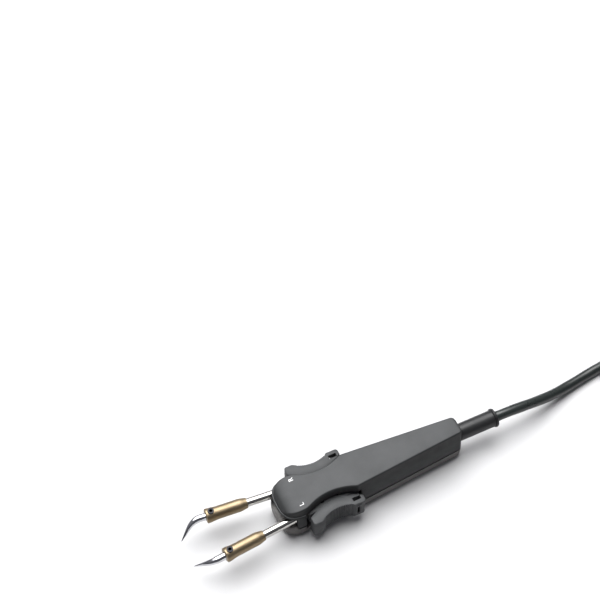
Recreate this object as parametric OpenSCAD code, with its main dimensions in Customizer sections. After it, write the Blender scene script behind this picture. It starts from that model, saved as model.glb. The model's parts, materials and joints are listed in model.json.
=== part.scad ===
// Soldering tweezers: a two-part housing with two sprung arms, each with a heated tip.
// X runs along the housing with the tips at -X, Z is up, and the origin is on the surface under the housing's middle.
// The arm marked left lies at -Y and the arm marked right at +Y.

/* [Housing] */
// Length of the housing
body_l = 121; // [116:1:128]
// Height of the housing
body_h = 27; // [26:0.5:29]
// Height of the parting line between the shells
parting_z = 10.5; // [10:0.25:11]
// Thickness of the shell walls
wall = 2; // [1.6:0.1:2.2]
// Half of the width across the front, at the top
lobe_half = 12.6; // [12.2:0.1:13.2]
// Half of the width between the grips, at the top
waist_half = 8.2; // [8:0.1:8.8]
// Half of the width behind the grips, at the top
shoulder_half = 12; // [11.7:0.1:12.5]
// Half of the width of the rear end, at the top
tail_half = 6; // [5.8:0.1:7]
// How much wider each side is at the parting line than at the top
draft = 1.9; // [1.6:0.1:2.2]
// Radius of the hollow beside each grip
scallop_r = 34; // [32:0.5:36]

/* [Nose] */
// Length of the rounded nose
nose_l = 12; // [11:0.5:13]
// How far the top falls towards the front
nose_drop = 6; // [5:0.5:7]
// Length of the slope on top of the nose
slope_l = 14; // [12:0.5:15]
// How far the lip stands out of the nose
lip_out = 0.5; // [0.3:0.1:0.8]
// Height of the lip
lip_h = 1.3; // [1:0.1:1.6]

/* [Grips] */
// Height of the grips' upper face
grip_top = 21; // [20.5:0.25:21.5]
// Height of the grips' lower face
grip_bottom = 9; // [8.5:0.25:9.5]
// Half of the distance between the grips' inner faces, where it is least
grip_in_half = 10.6; // [10.4:0.1:11]
// Half of the distance between the grips' outer faces at the finger hollow
grip_out_half = 17.1; // [16.8:0.1:17.6]
// Half of the width across the grips' front ends
grip_front_half = 21.1; // [20.8:0.1:21.6]
// Half of the width across the grips' rear ends
grip_rear_half = 19.6; // [19.2:0.1:20]
// Radius of the finger hollow
finger_r = 21; // [20:0.5:23]
// Depth of the ribs
rib_d = 0.4; // [0.3:0.05:0.5]
// Number of ribs on a grip
rib_count = 16; // [12:1:18]

/* [Arms] */
// How far each arm opens from the middle line at rest, in degrees
arm_open = 5; // [4.8:0.1:5.2]
// Half of the distance between the pivots
pivot_half = 6.6; // [6.4:0.1:6.8]
// Diameter of the pivot pins
pin_d = 3; // [2.6:0.1:3.2]
// Height of the arms' middle line
arm_z = 16; // [15.8:0.1:16.2]
// Width of the arm round its tube
arm_w = 8.6; // [8.2:0.1:8.8]
// Height of the arm
arm_h = 8; // [7.6:0.1:8.2]

/* [Heads] */
// Diameter of the heater tubes
tube_d = 5.2; // [4.8:0.1:5.4]
// Distance from a pivot to the front of its barrel
reach_l = 85.1; // [83:0.5:88]
// Length of the barrels
barrel_l = 25.6; // [24:0.5:28]
// Diameter of the barrels
barrel_d = 7.8; // [7.4:0.1:8.2]
// Length of the taper at a barrel's rear end
taper_l = 3.4; // [2.5:0.1:4]
// Diameter of the tips' shanks
tip_d = 3.2; // [2.8:0.1:3.6]
// How far a tip's point lies in front of its barrel
tip_l = 17.4; // [16:0.2:18]
// How far a tip's point lies below the arms' middle line
tip_drop = 7.5; // [6.5:0.1:8]
// How far a tip bends inwards
tip_in = 6.7; // [6.4:0.1:7]

/* [Cable] */
// Diameter of the cable
cable_d = 6.5; // [6:0.1:7]
// Diameter of the strain-relief sleeve
sleeve_d = 10.6; // [10:0.1:11]
// Length of the sleeve outside the housing
sleeve_l = 26.7; // [24:0.5:30]
// Height of the sleeve's middle line
sleeve_z = 15.6; // [15.2:0.1:16]

/* [Hidden] */
$fn = 48;

// Overrun of every cut, and the clearances of seats, runs and swings
over = 1;
seat = 0.02;
run = 0.05;
gap = 0.4;

// HOUSING: PLACES
nose_x = -body_l / 2;
tail_x = body_l / 2;
lobe_x = nose_x + nose_l;
slope_x = nose_x + slope_l;
scallop_share = 0.256;
scallop_x = nose_x + scallop_share * body_l;
front_corner_x = scallop_x - sqrt(pow(scallop_r, 2) - pow(scallop_r + waist_half - lobe_half, 2));
rear_corner_x = scallop_x + sqrt(pow(scallop_r, 2) - pow(scallop_r + waist_half - shoulder_half, 2));
plate_t = 2.2;
roof_z = body_h - plate_t;
tail_r = 1.8;
edge_r = 1.1;
nose_power = 2.4;

// The niches that the grips lie in reach past both ends of the hollows
niche_front_out = 1.4;
niche_rear_out = 2.6;
niche_front_x = front_corner_x - niche_front_out;
niche_rear_x = rear_corner_x + niche_rear_out;
niche_bottom = grip_bottom - gap;
niche_top = grip_top + gap;
cavity_front_x = niche_front_x + wall;

// The mouth under the nose, and the slots that the tubes swing in
mouth_in = 7.2;
mouth_x = nose_x + mouth_in;
mouth_top = arm_z + tube_d / 2 + gap;
slot_gap = 0.35;
lip_top_out = 0.6;
lip_z = body_h - nose_drop - lip_h + lip_top_out;

// GRIPS AND ARMS: PLACES
grip_front_in = 1.5;
grip_front_x = niche_front_x + grip_front_in;
grip_rear_x = niche_rear_x - gap;
grip_in_r = 32;
grip_mid_out = 1;
grip_mid_x = scallop_x + grip_mid_out;
bump_l = 8.2;
port_l = 5;
port_w = 2.2;
port_in = 4.6;
port_x = grip_rear_x - port_in;
hub_bottom_share = 0.575;
hub_top_share = 0.475;
hub_bottom = arm_z - arm_h * hub_bottom_share;
hub_top = arm_z + arm_h * hub_top_share;
pivot_out = 1;
pivot_x = port_x + pivot_out;
pin_in_roof = 3.4;
pin_in_floor = 3;
pin_top = hub_top + pin_in_roof;
pin_bottom = plate_t + pin_in_floor;
arm_l = 31;

// PIECES INSIDE: PLACES
boss_d = 5.6;
wire_d = 0.6;
wire_gap = 0.1;
spring_turns = 2.5;
spring_pitch = wire_d + wire_gap;
spring_play = 0.2;
spring_r = boss_d / 2 + wire_d / 2 + spring_play;
spring_top = hub_bottom - gap - wire_d / 2;
spring_low = spring_top - spring_turns * spring_pitch;
post_d = 2;
post_v = 3;
board_after_pivot = 17;
board_x = pivot_x + board_after_pivot;
board_l = 20;
board_w = 9;
board_t = 1.6;
board_over_parting = 1;
board_z = parting_z + board_over_parting;
board_post_d = 3;
board_post_shares = [0.25, 0.75];
flange_l = 2;
flange_out = 0.8;
flange_x = tail_x - wall - flange_l;
tongue_drop = 2;
clamp_in = 18.5;
clamp_l = 5;
clamp_half = 4.7;
clamp_x = tail_x - clamp_in;
clamp_screw_d = 1;
clamp_screw_v = 3.95;
clamp_screw_l = 6;
core_in = 20.5;
cable_inner_x = tail_x - core_in;

// Each screw's place along the housing and its length
screw_d = 2.6;
screw_head_d = 4.6;
screw_head_h = 1.6;
screw_head_z = 1;
screw_front_in = 10.2;
screw_after_pivot = 7.8;
screw_rear_in = 26.5;
screws = [
    [nose_x + screw_front_in, 15],
    [pivot_x + screw_after_pivot, 18],
    [tail_x - screw_rear_in, 18],
];

// SHAPES
function line_half(x) =
    x < rear_corner_x
        ? lobe_half + (shoulder_half - lobe_half) * max(0, x - front_corner_x) / (rear_corner_x - front_corner_x)
        : shoulder_half + (tail_half - shoulder_half) * (x - rear_corner_x) / (tail_x - rear_corner_x);
function scallop_half(x) =
    abs(x - scallop_x) < scallop_r
        ? waist_half + scallop_r - sqrt(pow(scallop_r, 2) - pow(x - scallop_x, 2))
        : body_l;
function nose_share(x, front) =
    x < lobe_x ? pow(max(0, 1 - pow((lobe_x - x) / (lobe_x - front), nose_power)), 1 / nose_power) : 1;
function tail_cut(x) =
    x > tail_x - tail_r ? tail_r - sqrt(max(0, pow(tail_r, 2) - pow(x - tail_x + tail_r, 2))) : 0;
function side_half(x) = min(line_half(x), scallop_half(x)) - tail_cut(x);
function top_half(x) = side_half(x) * nose_share(x, nose_x);
function top_z(x) =
    body_h - tail_cut(x) / 2
    - (x < slope_x ? nose_drop * (1 - sqrt(max(0, 1 - pow((slope_x - x) / slope_l, 2)))) : 0);

// Stations of the lofts along X, closer where the outline turns
turn_steps = 8;
function nose_stations(front, from) = [
    for (i = [from:turn_steps]) lobe_x - (lobe_x - front) * cos(90 * i / turn_steps)
];
scallop_steps = 12;
tail_steps = 4;
stations = concat(
    nose_stations(nose_x, 1),
    [
        for (i = [0:scallop_steps])
            front_corner_x + (rear_corner_x - front_corner_x) * i / scallop_steps
    ],
    [for (i = [0:tail_steps]) tail_x - tail_r + tail_r * sin(90 * i / tail_steps)]
);

// Points on an arc round [x, y] from one angle to another
function arc(x, y, r, from, to, steps) = [
    for (i = [0:steps])
        let (a = from + (to - from) * i / steps)
            [x + r * cos(a), y + r * sin(a)]
];

// Puts numbers in rising order
function sorted(v) =
    len(v) < 2
        ? v
        : let (p = v[floor(len(v) / 2)])
            concat(sorted([for (x = v) if (x < p) x]), [p], sorted([for (x = v) if (x > p) x]));

// A closed solid through rings of equal point counts, each ring in a plane across X
module loft(rings) {
    n = len(rings[0]);
    m = len(rings);
    sides = [
        for (j = [0:m - 2])
            for (i = [0:n - 1])
                [j * n + i, j * n + (i + 1) % n, (j + 1) * n + (i + 1) % n, (j + 1) * n + i]
    ];
    triangles = [for (q = sides) for (t = [[q[0], q[1], q[2]], [q[0], q[2], q[3]]]) t];
    ends = [[for (i = [0:n - 1]) n - 1 - i], [for (i = [0:n - 1]) (m - 1) * n + i]];
    polyhedron(points = [for (r = rings) for (p = r) p], faces = concat(triangles, ends), convexity = 6);
}

// A bent round bar through points, with its rings square to the path
steep = 0.9;
module bar(path, d, sides) {
    last = len(path) - 1;
    loft([
        for (i = [0:last])
            let (
                a = path[max(0, i - 1)],
                b = path[min(last, i + 1)],
                t = (b - a) / norm(b - a),
                s = abs(t[2]) > steep ? [0, 1, 0] : [0, 0, 1],
                u = cross(s, t) / norm(cross(s, t)),
                v = cross(t, u)
            )
                [for (k = [0:sides - 1]) path[i] + d / 2 * (u * cos(-360 * k / sides) + v * sin(-360 * k / sides))]
    ]);
}

// A headed screw standing on its head, with a hexagon socket in the head
module pan_screw(d, head_d, head_h, length) {
    difference() {
        union() {
            cylinder(d = head_d, h = head_h);
            translate([0, 0, head_h / 2]) cylinder(d = d, h = length - head_h / 2);
        }
        translate([0, 0, -over]) cylinder(d = head_d / 2, h = head_h / 2 + over, $fn = 6);
    }
}

// Mirrors its children from the right side to the left one
module on_side(side) {
    if (side == "left")
        mirror([0, 1, 0]) children();
    else
        children();
}
both = ["left", "right"];

// Places its children in the frame of the right arm: the pivot is the origin and the tube lies along -X
module on_arm(side) {
    on_side(side) translate([pivot_x, pivot_half, 0]) rotate([0, 0, -arm_open]) children();
}

// Places its children so that their Z runs forward along the arm's middle line, from the pivot
module along_arm(side) {
    on_arm(side) translate([0, 0, arm_z]) rotate([0, -90, 0]) children();
}

// UPPER SHELL
edge_steps = 3;
function upper_ring(x) =
    let (
        w = top_half(x),
        z = top_z(x),
        r = min(edge_r, w / 2),
        side = concat(
            [[w + draft, parting_z]],
            [for (k = [0:edge_steps]) [w - r + r * cos(90 * k / edge_steps), z - r + r * sin(90 * k / edge_steps)]]
        ),
        n = len(side)
    )
        concat(
            [for (p = side) [x, -p[0], p[1]]],
            [for (k = [0:n - 1]) [x, side[n - 1 - k][0], side[n - 1 - k][1]]]
        );

// The room inside the shells, as an outline in plan
cavity_stations = [for (x = stations) if (x > cavity_front_x && x < tail_x - tail_r - over) x];
function cavity_points() =
    let (
        xs = concat([cavity_front_x], cavity_stations, [tail_x - wall]),
        half = [for (x = xs) min(line_half(x), scallop_half(x)) - wall]
    )
        concat(
            [for (i = [0:len(xs) - 1]) [xs[i], half[i]]],
            [for (i = [len(xs) - 1:-1:0]) [xs[i], -half[i]]]
        );

module niche_cut() {
    for (side = both)
        on_side(side)
            translate([niche_front_x, 0, niche_bottom])
                cube([niche_rear_x - niche_front_x, grip_front_half + over, niche_top - niche_bottom]);
}

// A slot through the front for each tube, as wide as its swing
slot_out_half = pivot_half + (pivot_x - mouth_x) * tan(arm_open);
module tube_slots() {
    r = tube_d / 2 + slot_gap;
    for (side = both)
        on_side(side)
            translate([mouth_x - over, 0, arm_z])
                rotate([0, 90, 0])
                    linear_extrude(niche_front_x - mouth_x + 2 * over) {
                        translate([0, pivot_half]) circle(r);
                        translate([0, slot_out_half]) circle(r);
                        translate([-r, pivot_half]) square([2 * r, slot_out_half - pivot_half]);
                    }
}

// The way for the sleeve through the rear end, with a pocket for its inner flange
module sleeve_bore() {
    translate([flange_x - seat, 0, sleeve_z])
        rotate([0, 90, 0]) cylinder(d = sleeve_d + 2 * seat, h = tail_x - flange_x + over);
    translate([flange_x - seat, 0, sleeve_z])
        rotate([0, 90, 0]) cylinder(d = sleeve_d + 2 * flange_out + 2 * seat, h = flange_l + 2 * seat);
}

// Lets the sleeve into the upper shell from below
module sleeve_entry() {
    translate([flange_x - seat, -sleeve_d / 2 - seat, parting_z - over])
        cube([tail_x - flange_x + over, sleeve_d + 2 * seat, sleeve_z - parting_z + over]);
    translate([flange_x - seat, -sleeve_d / 2 - flange_out - seat, parting_z - over])
        cube([flange_l + 2 * seat, sleeve_d + 2 * flange_out + 2 * seat, sleeve_z - parting_z + over]);
}

lip_points = concat(
    [for (x = nose_stations(nose_x, 0)) [x, (lobe_half + draft / 3) * nose_share(x, nose_x)]],
    [[mouth_x, 0]]
);
module lip() {
    for (side = both)
        on_side(side)
            translate([-lip_out, 0, lip_z])
                linear_extrude(lip_h) polygon(lip_points);
}

module upper_shell() {
    color([0.29, 0.29, 0.3])
        difference() {
            union() {
                difference() {
                    loft([for (x = stations) upper_ring(x)]);
                    translate([0, 0, parting_z - over])
                        linear_extrude(roof_z - parting_z + over) polygon(cavity_points());
                    translate([nose_x - over, -body_h, parting_z - over])
                        cube([mouth_in + over, 2 * body_h, mouth_top - parting_z + over]);
                    tube_slots();
                    niche_cut();
                    sleeve_bore();
                    sleeve_entry();
                }
                lip();
                for (side = both)
                    on_side(side) translate([pivot_x, pivot_half, hub_top + gap])
                        cylinder(d = boss_d, h = roof_z - hub_top - gap + over / 2);
                for (s = screws)
                    if (s[0] > cavity_front_x)
                        translate([s[0], 0, parting_z]) cylinder(d = boss_d, h = roof_z - parting_z + over / 2);
            }
            for (side = both)
                on_side(side) translate([pivot_x, pivot_half, hub_top])
                    cylinder(d = pin_d + 2 * seat, h = pin_in_roof);
            for (s = screws)
                translate([s[0], 0, parting_z - over])
                    cylinder(d = screw_d + 2 * seat, h = screw_head_z + s[1] + gap - parting_z + over);
        }
}

// LOWER SHELL
chin_rise = 1.4;
chin_out = 1;
pan_in = 1.2;
pan_r = 4;
chin_x = nose_x - chin_out;
chin_z = parting_z + chin_rise;
function lower_half(x) = side_half(x) * nose_share(x, chin_x) + draft;
function bottom_lift(x) =
    x < lobe_x ? parting_z / 2 * (1 - sqrt(max(0, 1 - pow((lobe_x - x) / (lobe_x - chin_x), 2)))) : tail_cut(x) / 3;
function lower_ring(x) =
    let (
        w = lower_half(x),
        r = min(pan_r, w / 2),
        low = bottom_lift(x),
        side = concat(
            [[w, x < mouth_x ? chin_z : parting_z]],
            [[w, parting_z - over]],
            [
                for (k = [0:edge_steps])
                    [w - pan_in - r + r * cos(90 * k / edge_steps), low + r - r * sin(90 * k / edge_steps)]
            ]
        ),
        n = len(side)
    )
        concat(
            [for (k = [0:n - 1]) [x, -side[n - 1 - k][0], side[n - 1 - k][1]]],
            [for (p = side) [x, p[0], p[1]]]
        );
lower_stations = concat(
    nose_stations(chin_x, 1),
    [mouth_x - gap, mouth_x + seat],
    [for (x = stations) if (x > lobe_x) x]
);

// A post that stands on the floor, from a little inside it up to a height
module floor_post(d, top) {
    translate([0, 0, plate_t - over / 2]) cylinder(d = d, h = top - plate_t + over / 2);
}

// The block that the cable lies in, with the screws of its clamp beside the cable
module saddle() {
    difference() {
        translate([clamp_x, -clamp_half, plate_t - over / 2])
            cube([clamp_l, 2 * clamp_half, sleeve_z - plate_t + over / 2]);
        clamp_holes(clamp_screw_d + 2 * seat);
    }
}
module clamp_holes(d) {
    translate([clamp_x - over, 0, sleeve_z])
        rotate([0, 90, 0]) cylinder(d = cable_d + 2 * seat, h = clamp_l + 2 * over);
    for (v = [-1, 1])
        translate([clamp_x + clamp_l / 2, v * clamp_screw_v, clamp_top - clamp_screw_l - gap])
            cylinder(d = d, h = clamp_screw_l + gap + over);
}

module lower_shell() {
    color([0.25, 0.25, 0.25])
        difference() {
            union() {
                difference() {
                    loft([for (x = sorted(lower_stations)) lower_ring(x)]);
                    translate([0, 0, plate_t]) linear_extrude(body_h) polygon(cavity_points());
                    niche_cut();
                }
                translate([tail_x - wall, -sleeve_d / 2, parting_z - over])
                    cube([wall, sleeve_d, sleeve_z - tongue_drop - parting_z + over]);
                for (side = both) {
                    on_side(side) translate([pivot_x, pivot_half, 0]) floor_post(boss_d, hub_bottom - gap);
                    on_arm(side)
                        translate([spring_r + wire_d / 2 + post_d / 2 + seat, -post_v, 0])
                            floor_post(post_d, spring_low + wire_d);
                }
                for (s = board_post_shares)
                    translate([board_x + board_l * s, 0, 0]) floor_post(board_post_d, board_z);
                for (s = screws)
                    if (s[0] > cavity_front_x)
                        translate([s[0], 0, 0]) floor_post(boss_d + 2 * gap, parting_z);
                saddle();
            }
            sleeve_bore();
            for (side = both)
                on_side(side) translate([pivot_x, pivot_half, pin_bottom])
                    cylinder(d = pin_d + 2 * seat, h = body_h);
            for (s = screws) {
                translate([s[0], 0, -over]) cylinder(d = screw_d + 2 * run, h = body_h);
                translate([s[0], 0, -over])
                    cylinder(d = screw_head_d + 2 * run, h = screw_head_z + screw_head_h + over);
            }
        }
}

// SHELL SCREWS
module shell_screws() {
    color([0.6, 0.6, 0.62])
        for (s = screws)
            translate([s[0], 0, screw_head_z]) pan_screw(screw_d, screw_head_d, screw_head_h, s[1]);
}

// GRIPS WITH THEIR ARMS
function grip_inner(x) = grip_in_half + grip_in_r - sqrt(pow(grip_in_r, 2) - pow(x - grip_mid_x, 2));
function grip_outer(x) = min(
    grip_front_half,
    grip_out_half + finger_r - sqrt(pow(finger_r, 2) - pow(x - grip_mid_x, 2))
);

inner_steps = 12;
corner_steps = 3;
rear_corner_r = 1.8;
bump_corner_r = 1.2;
front_corner_r = 1.2;
rib_front_in = 8.4;
rib_rear_in = 1;
rib_front_x = grip_front_x + rib_front_in;
rib_rear_x = grip_rear_x - bump_l - rib_rear_in;
rib_pitch = (rib_rear_x - rib_front_x) / rib_count;
rib_shares = [[0, 1], [0.3, 0], [0.7, 0]];
grip_points = concat(
    [
        for (i = [0:inner_steps])
            let (x = grip_front_x + (grip_rear_x - grip_front_x) * i / inner_steps)
                [x, grip_inner(x)]
    ],
    arc(grip_rear_x - rear_corner_r, grip_rear_half - rear_corner_r, rear_corner_r, 0, 90, corner_steps),
    arc(grip_rear_x - bump_l + bump_corner_r, grip_rear_half - bump_corner_r, bump_corner_r, 90, 150, corner_steps),
    [
        for (i = [0:rib_count - 1])
            for (s = rib_shares)
                let (x = rib_rear_x - (i + s[0]) * rib_pitch)
                    [x, grip_outer(x) - rib_d * s[1]]
    ],
    [
        for (i = [0:corner_steps])
            let (x = rib_front_x - (rib_front_in - 2 * front_corner_r) * i / corner_steps)
                [x, grip_outer(x)]
    ],
    arc(grip_front_x + front_corner_r, grip_front_half - front_corner_r, front_corner_r, 90, 180, corner_steps)
);

// The web that joins the grip to its arm
web_front_in = 4;
web_rear_in = 1.4;
web_inset = 0.8;
web_front_x = grip_front_x + web_front_in;
web_rear_x = grip_rear_x - web_rear_in;
web_points = concat(
    [[web_front_x, pivot_half]],
    [
        for (i = [0:inner_steps])
            let (x = web_front_x + (web_rear_x - web_front_x) * i / inner_steps)
                [x, grip_inner(x) + over]
    ],
    [[web_rear_x, pivot_half]]
);

// The raised frame with its opening on the outer face, beside the opening in the top
frame_w = 4.2;
frame_h = 9.5;
frame_out = 0.5;
side_port_w = 1.8;
side_port_h = 7;
side_port_in = 0.4;
side_port_x = port_x - side_port_in;
port_half = (grip_inner(port_x) + grip_rear_half) / 2 - side_port_in;
grip_mid_z = (grip_top + grip_bottom) / 2;

hub_out = 0.4;
tube_in = 9;
lead_d = 1.8;
channel_l = 5.8;
arm_screw_in = 20;
arm_screw_d = 2.6;
spring_leg_u = -6;
spring_leg_v = -1;
spring_leg_in = 1.4;
spring_leg_play = 0.75;

module grip(side) {
    hub_h = hub_top - hub_bottom;
    difference() {
        union() {
            on_side(side) {
                translate([0, 0, grip_bottom]) linear_extrude(grip_top - grip_bottom) polygon(grip_points);
                translate([0, 0, hub_bottom + web_inset]) linear_extrude(hub_h - 2 * web_inset) polygon(web_points);
                translate([side_port_x - frame_w / 2, grip_rear_half - over, grip_mid_z - frame_h / 2])
                    cube([frame_w, over + frame_out, frame_h]);
            }
            on_arm(side) {
                translate([-arm_l, -arm_w / 2, hub_bottom]) cube([arm_l, arm_w, hub_h]);
                translate([0, 0, hub_bottom]) cylinder(d = arm_w + 2 * hub_out, h = hub_h);
            }
        }
        on_side(side) {
            translate([port_x - port_l / 2, port_half - port_w / 2, grip_bottom - over])
                cube([port_l, port_w, grip_top - grip_bottom + 2 * over]);
            translate([side_port_x - side_port_w / 2, port_half, grip_mid_z - side_port_h / 2])
                cube([side_port_w, grip_rear_half + over - port_half, side_port_h]);
        }
        on_arm(side) {
            translate([0, 0, hub_bottom - over]) cylinder(d = pin_d + 2 * run, h = hub_h + 2 * over);
            translate([-tube_in - over, -lead_d / 2 - 2 * gap, arm_z - lead_d])
                cube([channel_l, lead_d + 4 * gap, arm_h]);
            translate([-arm_screw_in, 0, arm_z]) cylinder(d = arm_screw_d + 2 * seat, h = arm_h);
            translate([spring_leg_u, spring_leg_v, hub_bottom - over])
                cylinder(d = wire_d + 2 * spring_leg_play, h = spring_leg_in + gap + over);
        }
        along_arm(side)
            translate([0, 0, tube_in]) cylinder(d = tube_d + 2 * seat, h = arm_l - tube_in + over);
    }
}
module left_grip() { color([0.42, 0.42, 0.43]) grip("left"); }
module right_grip() { color([0.42, 0.42, 0.43]) grip("right"); }

// PIVOT PINS
module pivot_pin(side) {
    color([0.75, 0.75, 0.77])
        on_side(side) translate([pivot_x, pivot_half, pin_bottom])
            cylinder(d = pin_d, h = pin_top - pin_bottom - gap / 2);
}
module left_pivot_pin() { pivot_pin("left"); }
module right_pivot_pin() { pivot_pin("right"); }

// RETURN SPRINGS
spring_sides = 6;
spring_steps = 14;

// The coil stands round the lower boss; one leg lies against its post and the other reaches up into the arm
module spring(side) {
    turn = [
        for (i = [0:spring_turns * spring_steps])
            let (a = 360 * i / spring_steps)
                [spring_r * cos(a), spring_r * sin(a), spring_low + spring_pitch * i / spring_steps]
    ];
    path = concat(
        [[spring_r, -post_v - post_d / 2, spring_low]],
        turn,
        [[spring_leg_u, spring_leg_v, spring_top], [spring_leg_u, spring_leg_v, hub_bottom + spring_leg_in]]
    );
    color([0.7, 0.7, 0.72]) on_arm(side) bar(path, wire_d, spring_sides);
}
module left_spring() { spring("left"); }
module right_spring() { spring("right"); }

// HEATER TUBES
tube_wall = 0.5;
tube_in_barrel = 5;
tube_front = reach_l - barrel_l + tube_in_barrel;
module tube(side) {
    color([0.8, 0.8, 0.78])
        along_arm(side)
            translate([0, 0, tube_in])
                difference() {
                    cylinder(d = tube_d, h = tube_front - tube_in);
                    translate([0, 0, -over])
                        cylinder(d = tube_d - 2 * tube_wall, h = tube_front - tube_in + 2 * over);
                }
}
module left_tube() { tube("left"); }
module right_tube() { tube("right"); }

// TUBE SCREWS
arm_screw_bottom = arm_z + tube_d / 2 + seat;
socket_floor = 0.4;
module tube_screw(side) {
    color([0.3, 0.3, 0.3])
        on_arm(side)
            translate([-arm_screw_in, 0, arm_screw_bottom])
                difference() {
                    cylinder(d = arm_screw_d, h = hub_top - arm_screw_bottom);
                    translate([0, 0, socket_floor]) cylinder(d = arm_screw_d / 2, h = arm_h, $fn = 6);
                }
}
module left_tube_screw() { tube_screw("left"); }
module right_tube_screw() { tube_screw("right"); }

// BARRELS
collar_out = 0.5;
collar_rear_in = 8;
collar_front_in = 6.6;
collar_edge = 0.4;
socket_l = 12;
rear_rim = 0.9;
slit_w = 1;
slit_l = 7.2;
tip_screw_in = 3.4;
tip_screw_d = 3.8;

// Revolved about the arm's line; the profile runs from the rear rim to the flared front end
module barrel(side) {
    bore = tube_d / 2 + seat;
    color([0.76, 0.66, 0.5])
        difference() {
            along_arm(side)
                rotate_extrude()
                    polygon([
                        [bore, reach_l - barrel_l],
                        [bore + rear_rim, reach_l - barrel_l],
                        [barrel_d / 2, reach_l - barrel_l + taper_l],
                        [barrel_d / 2, reach_l - collar_rear_in],
                        [barrel_d / 2 + collar_out, reach_l - collar_front_in],
                        [barrel_d / 2 + collar_out, reach_l - collar_edge],
                        [barrel_d / 2, reach_l],
                        [tip_d / 2 + seat, reach_l],
                        [tip_d / 2 + seat, reach_l - socket_l],
                        [bore, reach_l - socket_l],
                    ]);
            on_arm(side) {
                translate([tip_screw_in - reach_l, 0, arm_z]) cylinder(d = tip_screw_d + 2 * seat, h = barrel_d);
                translate([-reach_l - over, -slit_w / 2, arm_z - barrel_d]) cube([slit_l + over, slit_w, barrel_d]);
            }
        }
}
module left_barrel() { barrel("left"); }
module right_barrel() { barrel("right"); }

// HEATER CORES
heater_l = 14;
module heater(side) {
    color([0.9, 0.88, 0.82])
        along_arm(side)
            translate([0, 0, reach_l - socket_l - gap - heater_l])
                cylinder(d = tube_d - 2 * tube_wall - 2 * seat, h = heater_l);
}
module left_heater() { heater("left"); }
module right_heater() { heater("right"); }

// TIPS
tip_point_d = 0.5;
tip_straight_share = 0.3;
tip_knee_shares = [0.62, 0.3, 0.28];
tip_knee_d_share = 0.82;
shank_fn = 24;
point_fn = 16;

// The shank sits in the barrel; the free end bends down and inwards and narrows to a point
module tip(side) {
    straight = reach_l + tip_l * tip_straight_share;
    knee = [
        -reach_l - tip_l * tip_knee_shares[0],
        -tip_in * tip_knee_shares[1],
        arm_z - tip_drop * tip_knee_shares[2],
    ];
    color([0.82, 0.82, 0.82]) {
        along_arm(side)
            translate([0, 0, reach_l - socket_l + gap]) cylinder(d = tip_d, h = straight - reach_l + socket_l - gap);
        on_arm(side) {
            hull() {
                translate([-straight, 0, arm_z]) sphere(d = tip_d, $fn = shank_fn);
                translate(knee) sphere(d = tip_d * tip_knee_d_share, $fn = shank_fn);
            }
            hull() {
                translate(knee) sphere(d = tip_d * tip_knee_d_share, $fn = shank_fn);
                translate([-reach_l - tip_l, -tip_in, arm_z - tip_drop]) sphere(d = tip_point_d, $fn = point_fn);
            }
        }
    }
}
module left_tip() { tip("left"); }
module right_tip() { tip("right"); }

// TIP SCREWS
tip_screw_out = 0.5;
tip_socket_d = 2.3;
tip_screw_bottom = tip_d / 2 + seat;
module tip_screw(side) {
    color([0.2, 0.2, 0.2])
        on_arm(side)
            translate([tip_screw_in - reach_l, 0, arm_z + tip_screw_bottom])
                difference() {
                    cylinder(d = tip_screw_d, h = barrel_d / 2 + collar_out + tip_screw_out - tip_screw_bottom);
                    translate([0, 0, over]) cylinder(d = tip_socket_d, h = barrel_d, $fn = 6);
                }
}
module left_tip_screw() { tip_screw("left"); }
module right_tip_screw() { tip_screw("right"); }

// HEATER LEADS
bush_l = 6;
lead_sides = 8;

// The lead's route from the tube over the hub to the terminals, by hand, from the arm's pivot and middle line
lead_route = [
    [-10, 0, 0],
    [-8, 0, 0.3],
    [-6.6, 0, 2.4],
    [-5.6, -0.3, 4.2],
    [-3.8, -2.6, 5.1],
    [-1, -4.3, 5.1],
    [3, -3.9, 5.1],
    [8, -1.6, 1.5],
    [12, -1.8, -1],
    [15.6, -2.6, -1.7],
];
module lead(side) {
    color([0.85, 0.8, 0.7]) {
        along_arm(side)
            translate([0, 0, tube_in]) cylinder(d = tube_d - 2 * tube_wall - 2 * seat, h = bush_l);
        on_arm(side) translate([0, 0, arm_z]) bar(lead_route, lead_d, lead_sides);
    }
}
module left_lead() { lead("left"); }
module right_lead() { lead("right"); }

// TERMINAL BOARD
pad_d = 1;
pad_shares = [0.1, 0.9];
pad_rows = [-3, -1, 1, 3];
pad_places = [for (s = pad_shares) for (v = pad_rows) [board_x + board_l * s, v]];
terminal_below = 0.8;
terminal_above = 1.6;

module terminal_board() {
    color([0.2, 0.45, 0.3])
        difference() {
            translate([board_x, -board_w / 2, board_z]) cube([board_l, board_w, board_t]);
            for (p = pad_places)
                translate([p[0], p[1], board_z - over]) cylinder(d = pad_d + 2 * seat, h = board_t + 2 * over);
        }
}

module terminal_pins() {
    color([0.85, 0.7, 0.35])
        for (p = pad_places)
            translate([p[0], p[1], board_z - terminal_below])
                cylinder(d = pad_d, h = board_t + terminal_below + terminal_above);
}

// CABLE CORES
core_d = 1.4;
core_before = 1.2;
core_from_x = board_x + board_l - core_before;
core_half = boss_d / 2 + core_d / 2 + gap;
core_rise_share = 0.95;
core_shares = [[0, 2], [0.36, core_half], [0.84, core_half], [core_rise_share, 1.6], [1, 1.6]];
core_low = board_z + board_t + core_d / 2 + seat;
core_sides = 8;

// Each core's route goes round the rear screw's post; the table holds shares of the way and distances from the middle
module cable_cores() {
    color([0.7, 0.3, 0.25])
        for (v = [-1, 1])
            bar(
                [
                    for (s = core_shares)
                        [
                            core_from_x + (cable_inner_x - seat - core_from_x) * s[0],
                            v * s[1],
                            core_low + (sleeve_z - core_low) * min(1, s[0] / core_rise_share),
                        ]
                ],
                core_d,
                core_sides
            );
}

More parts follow.
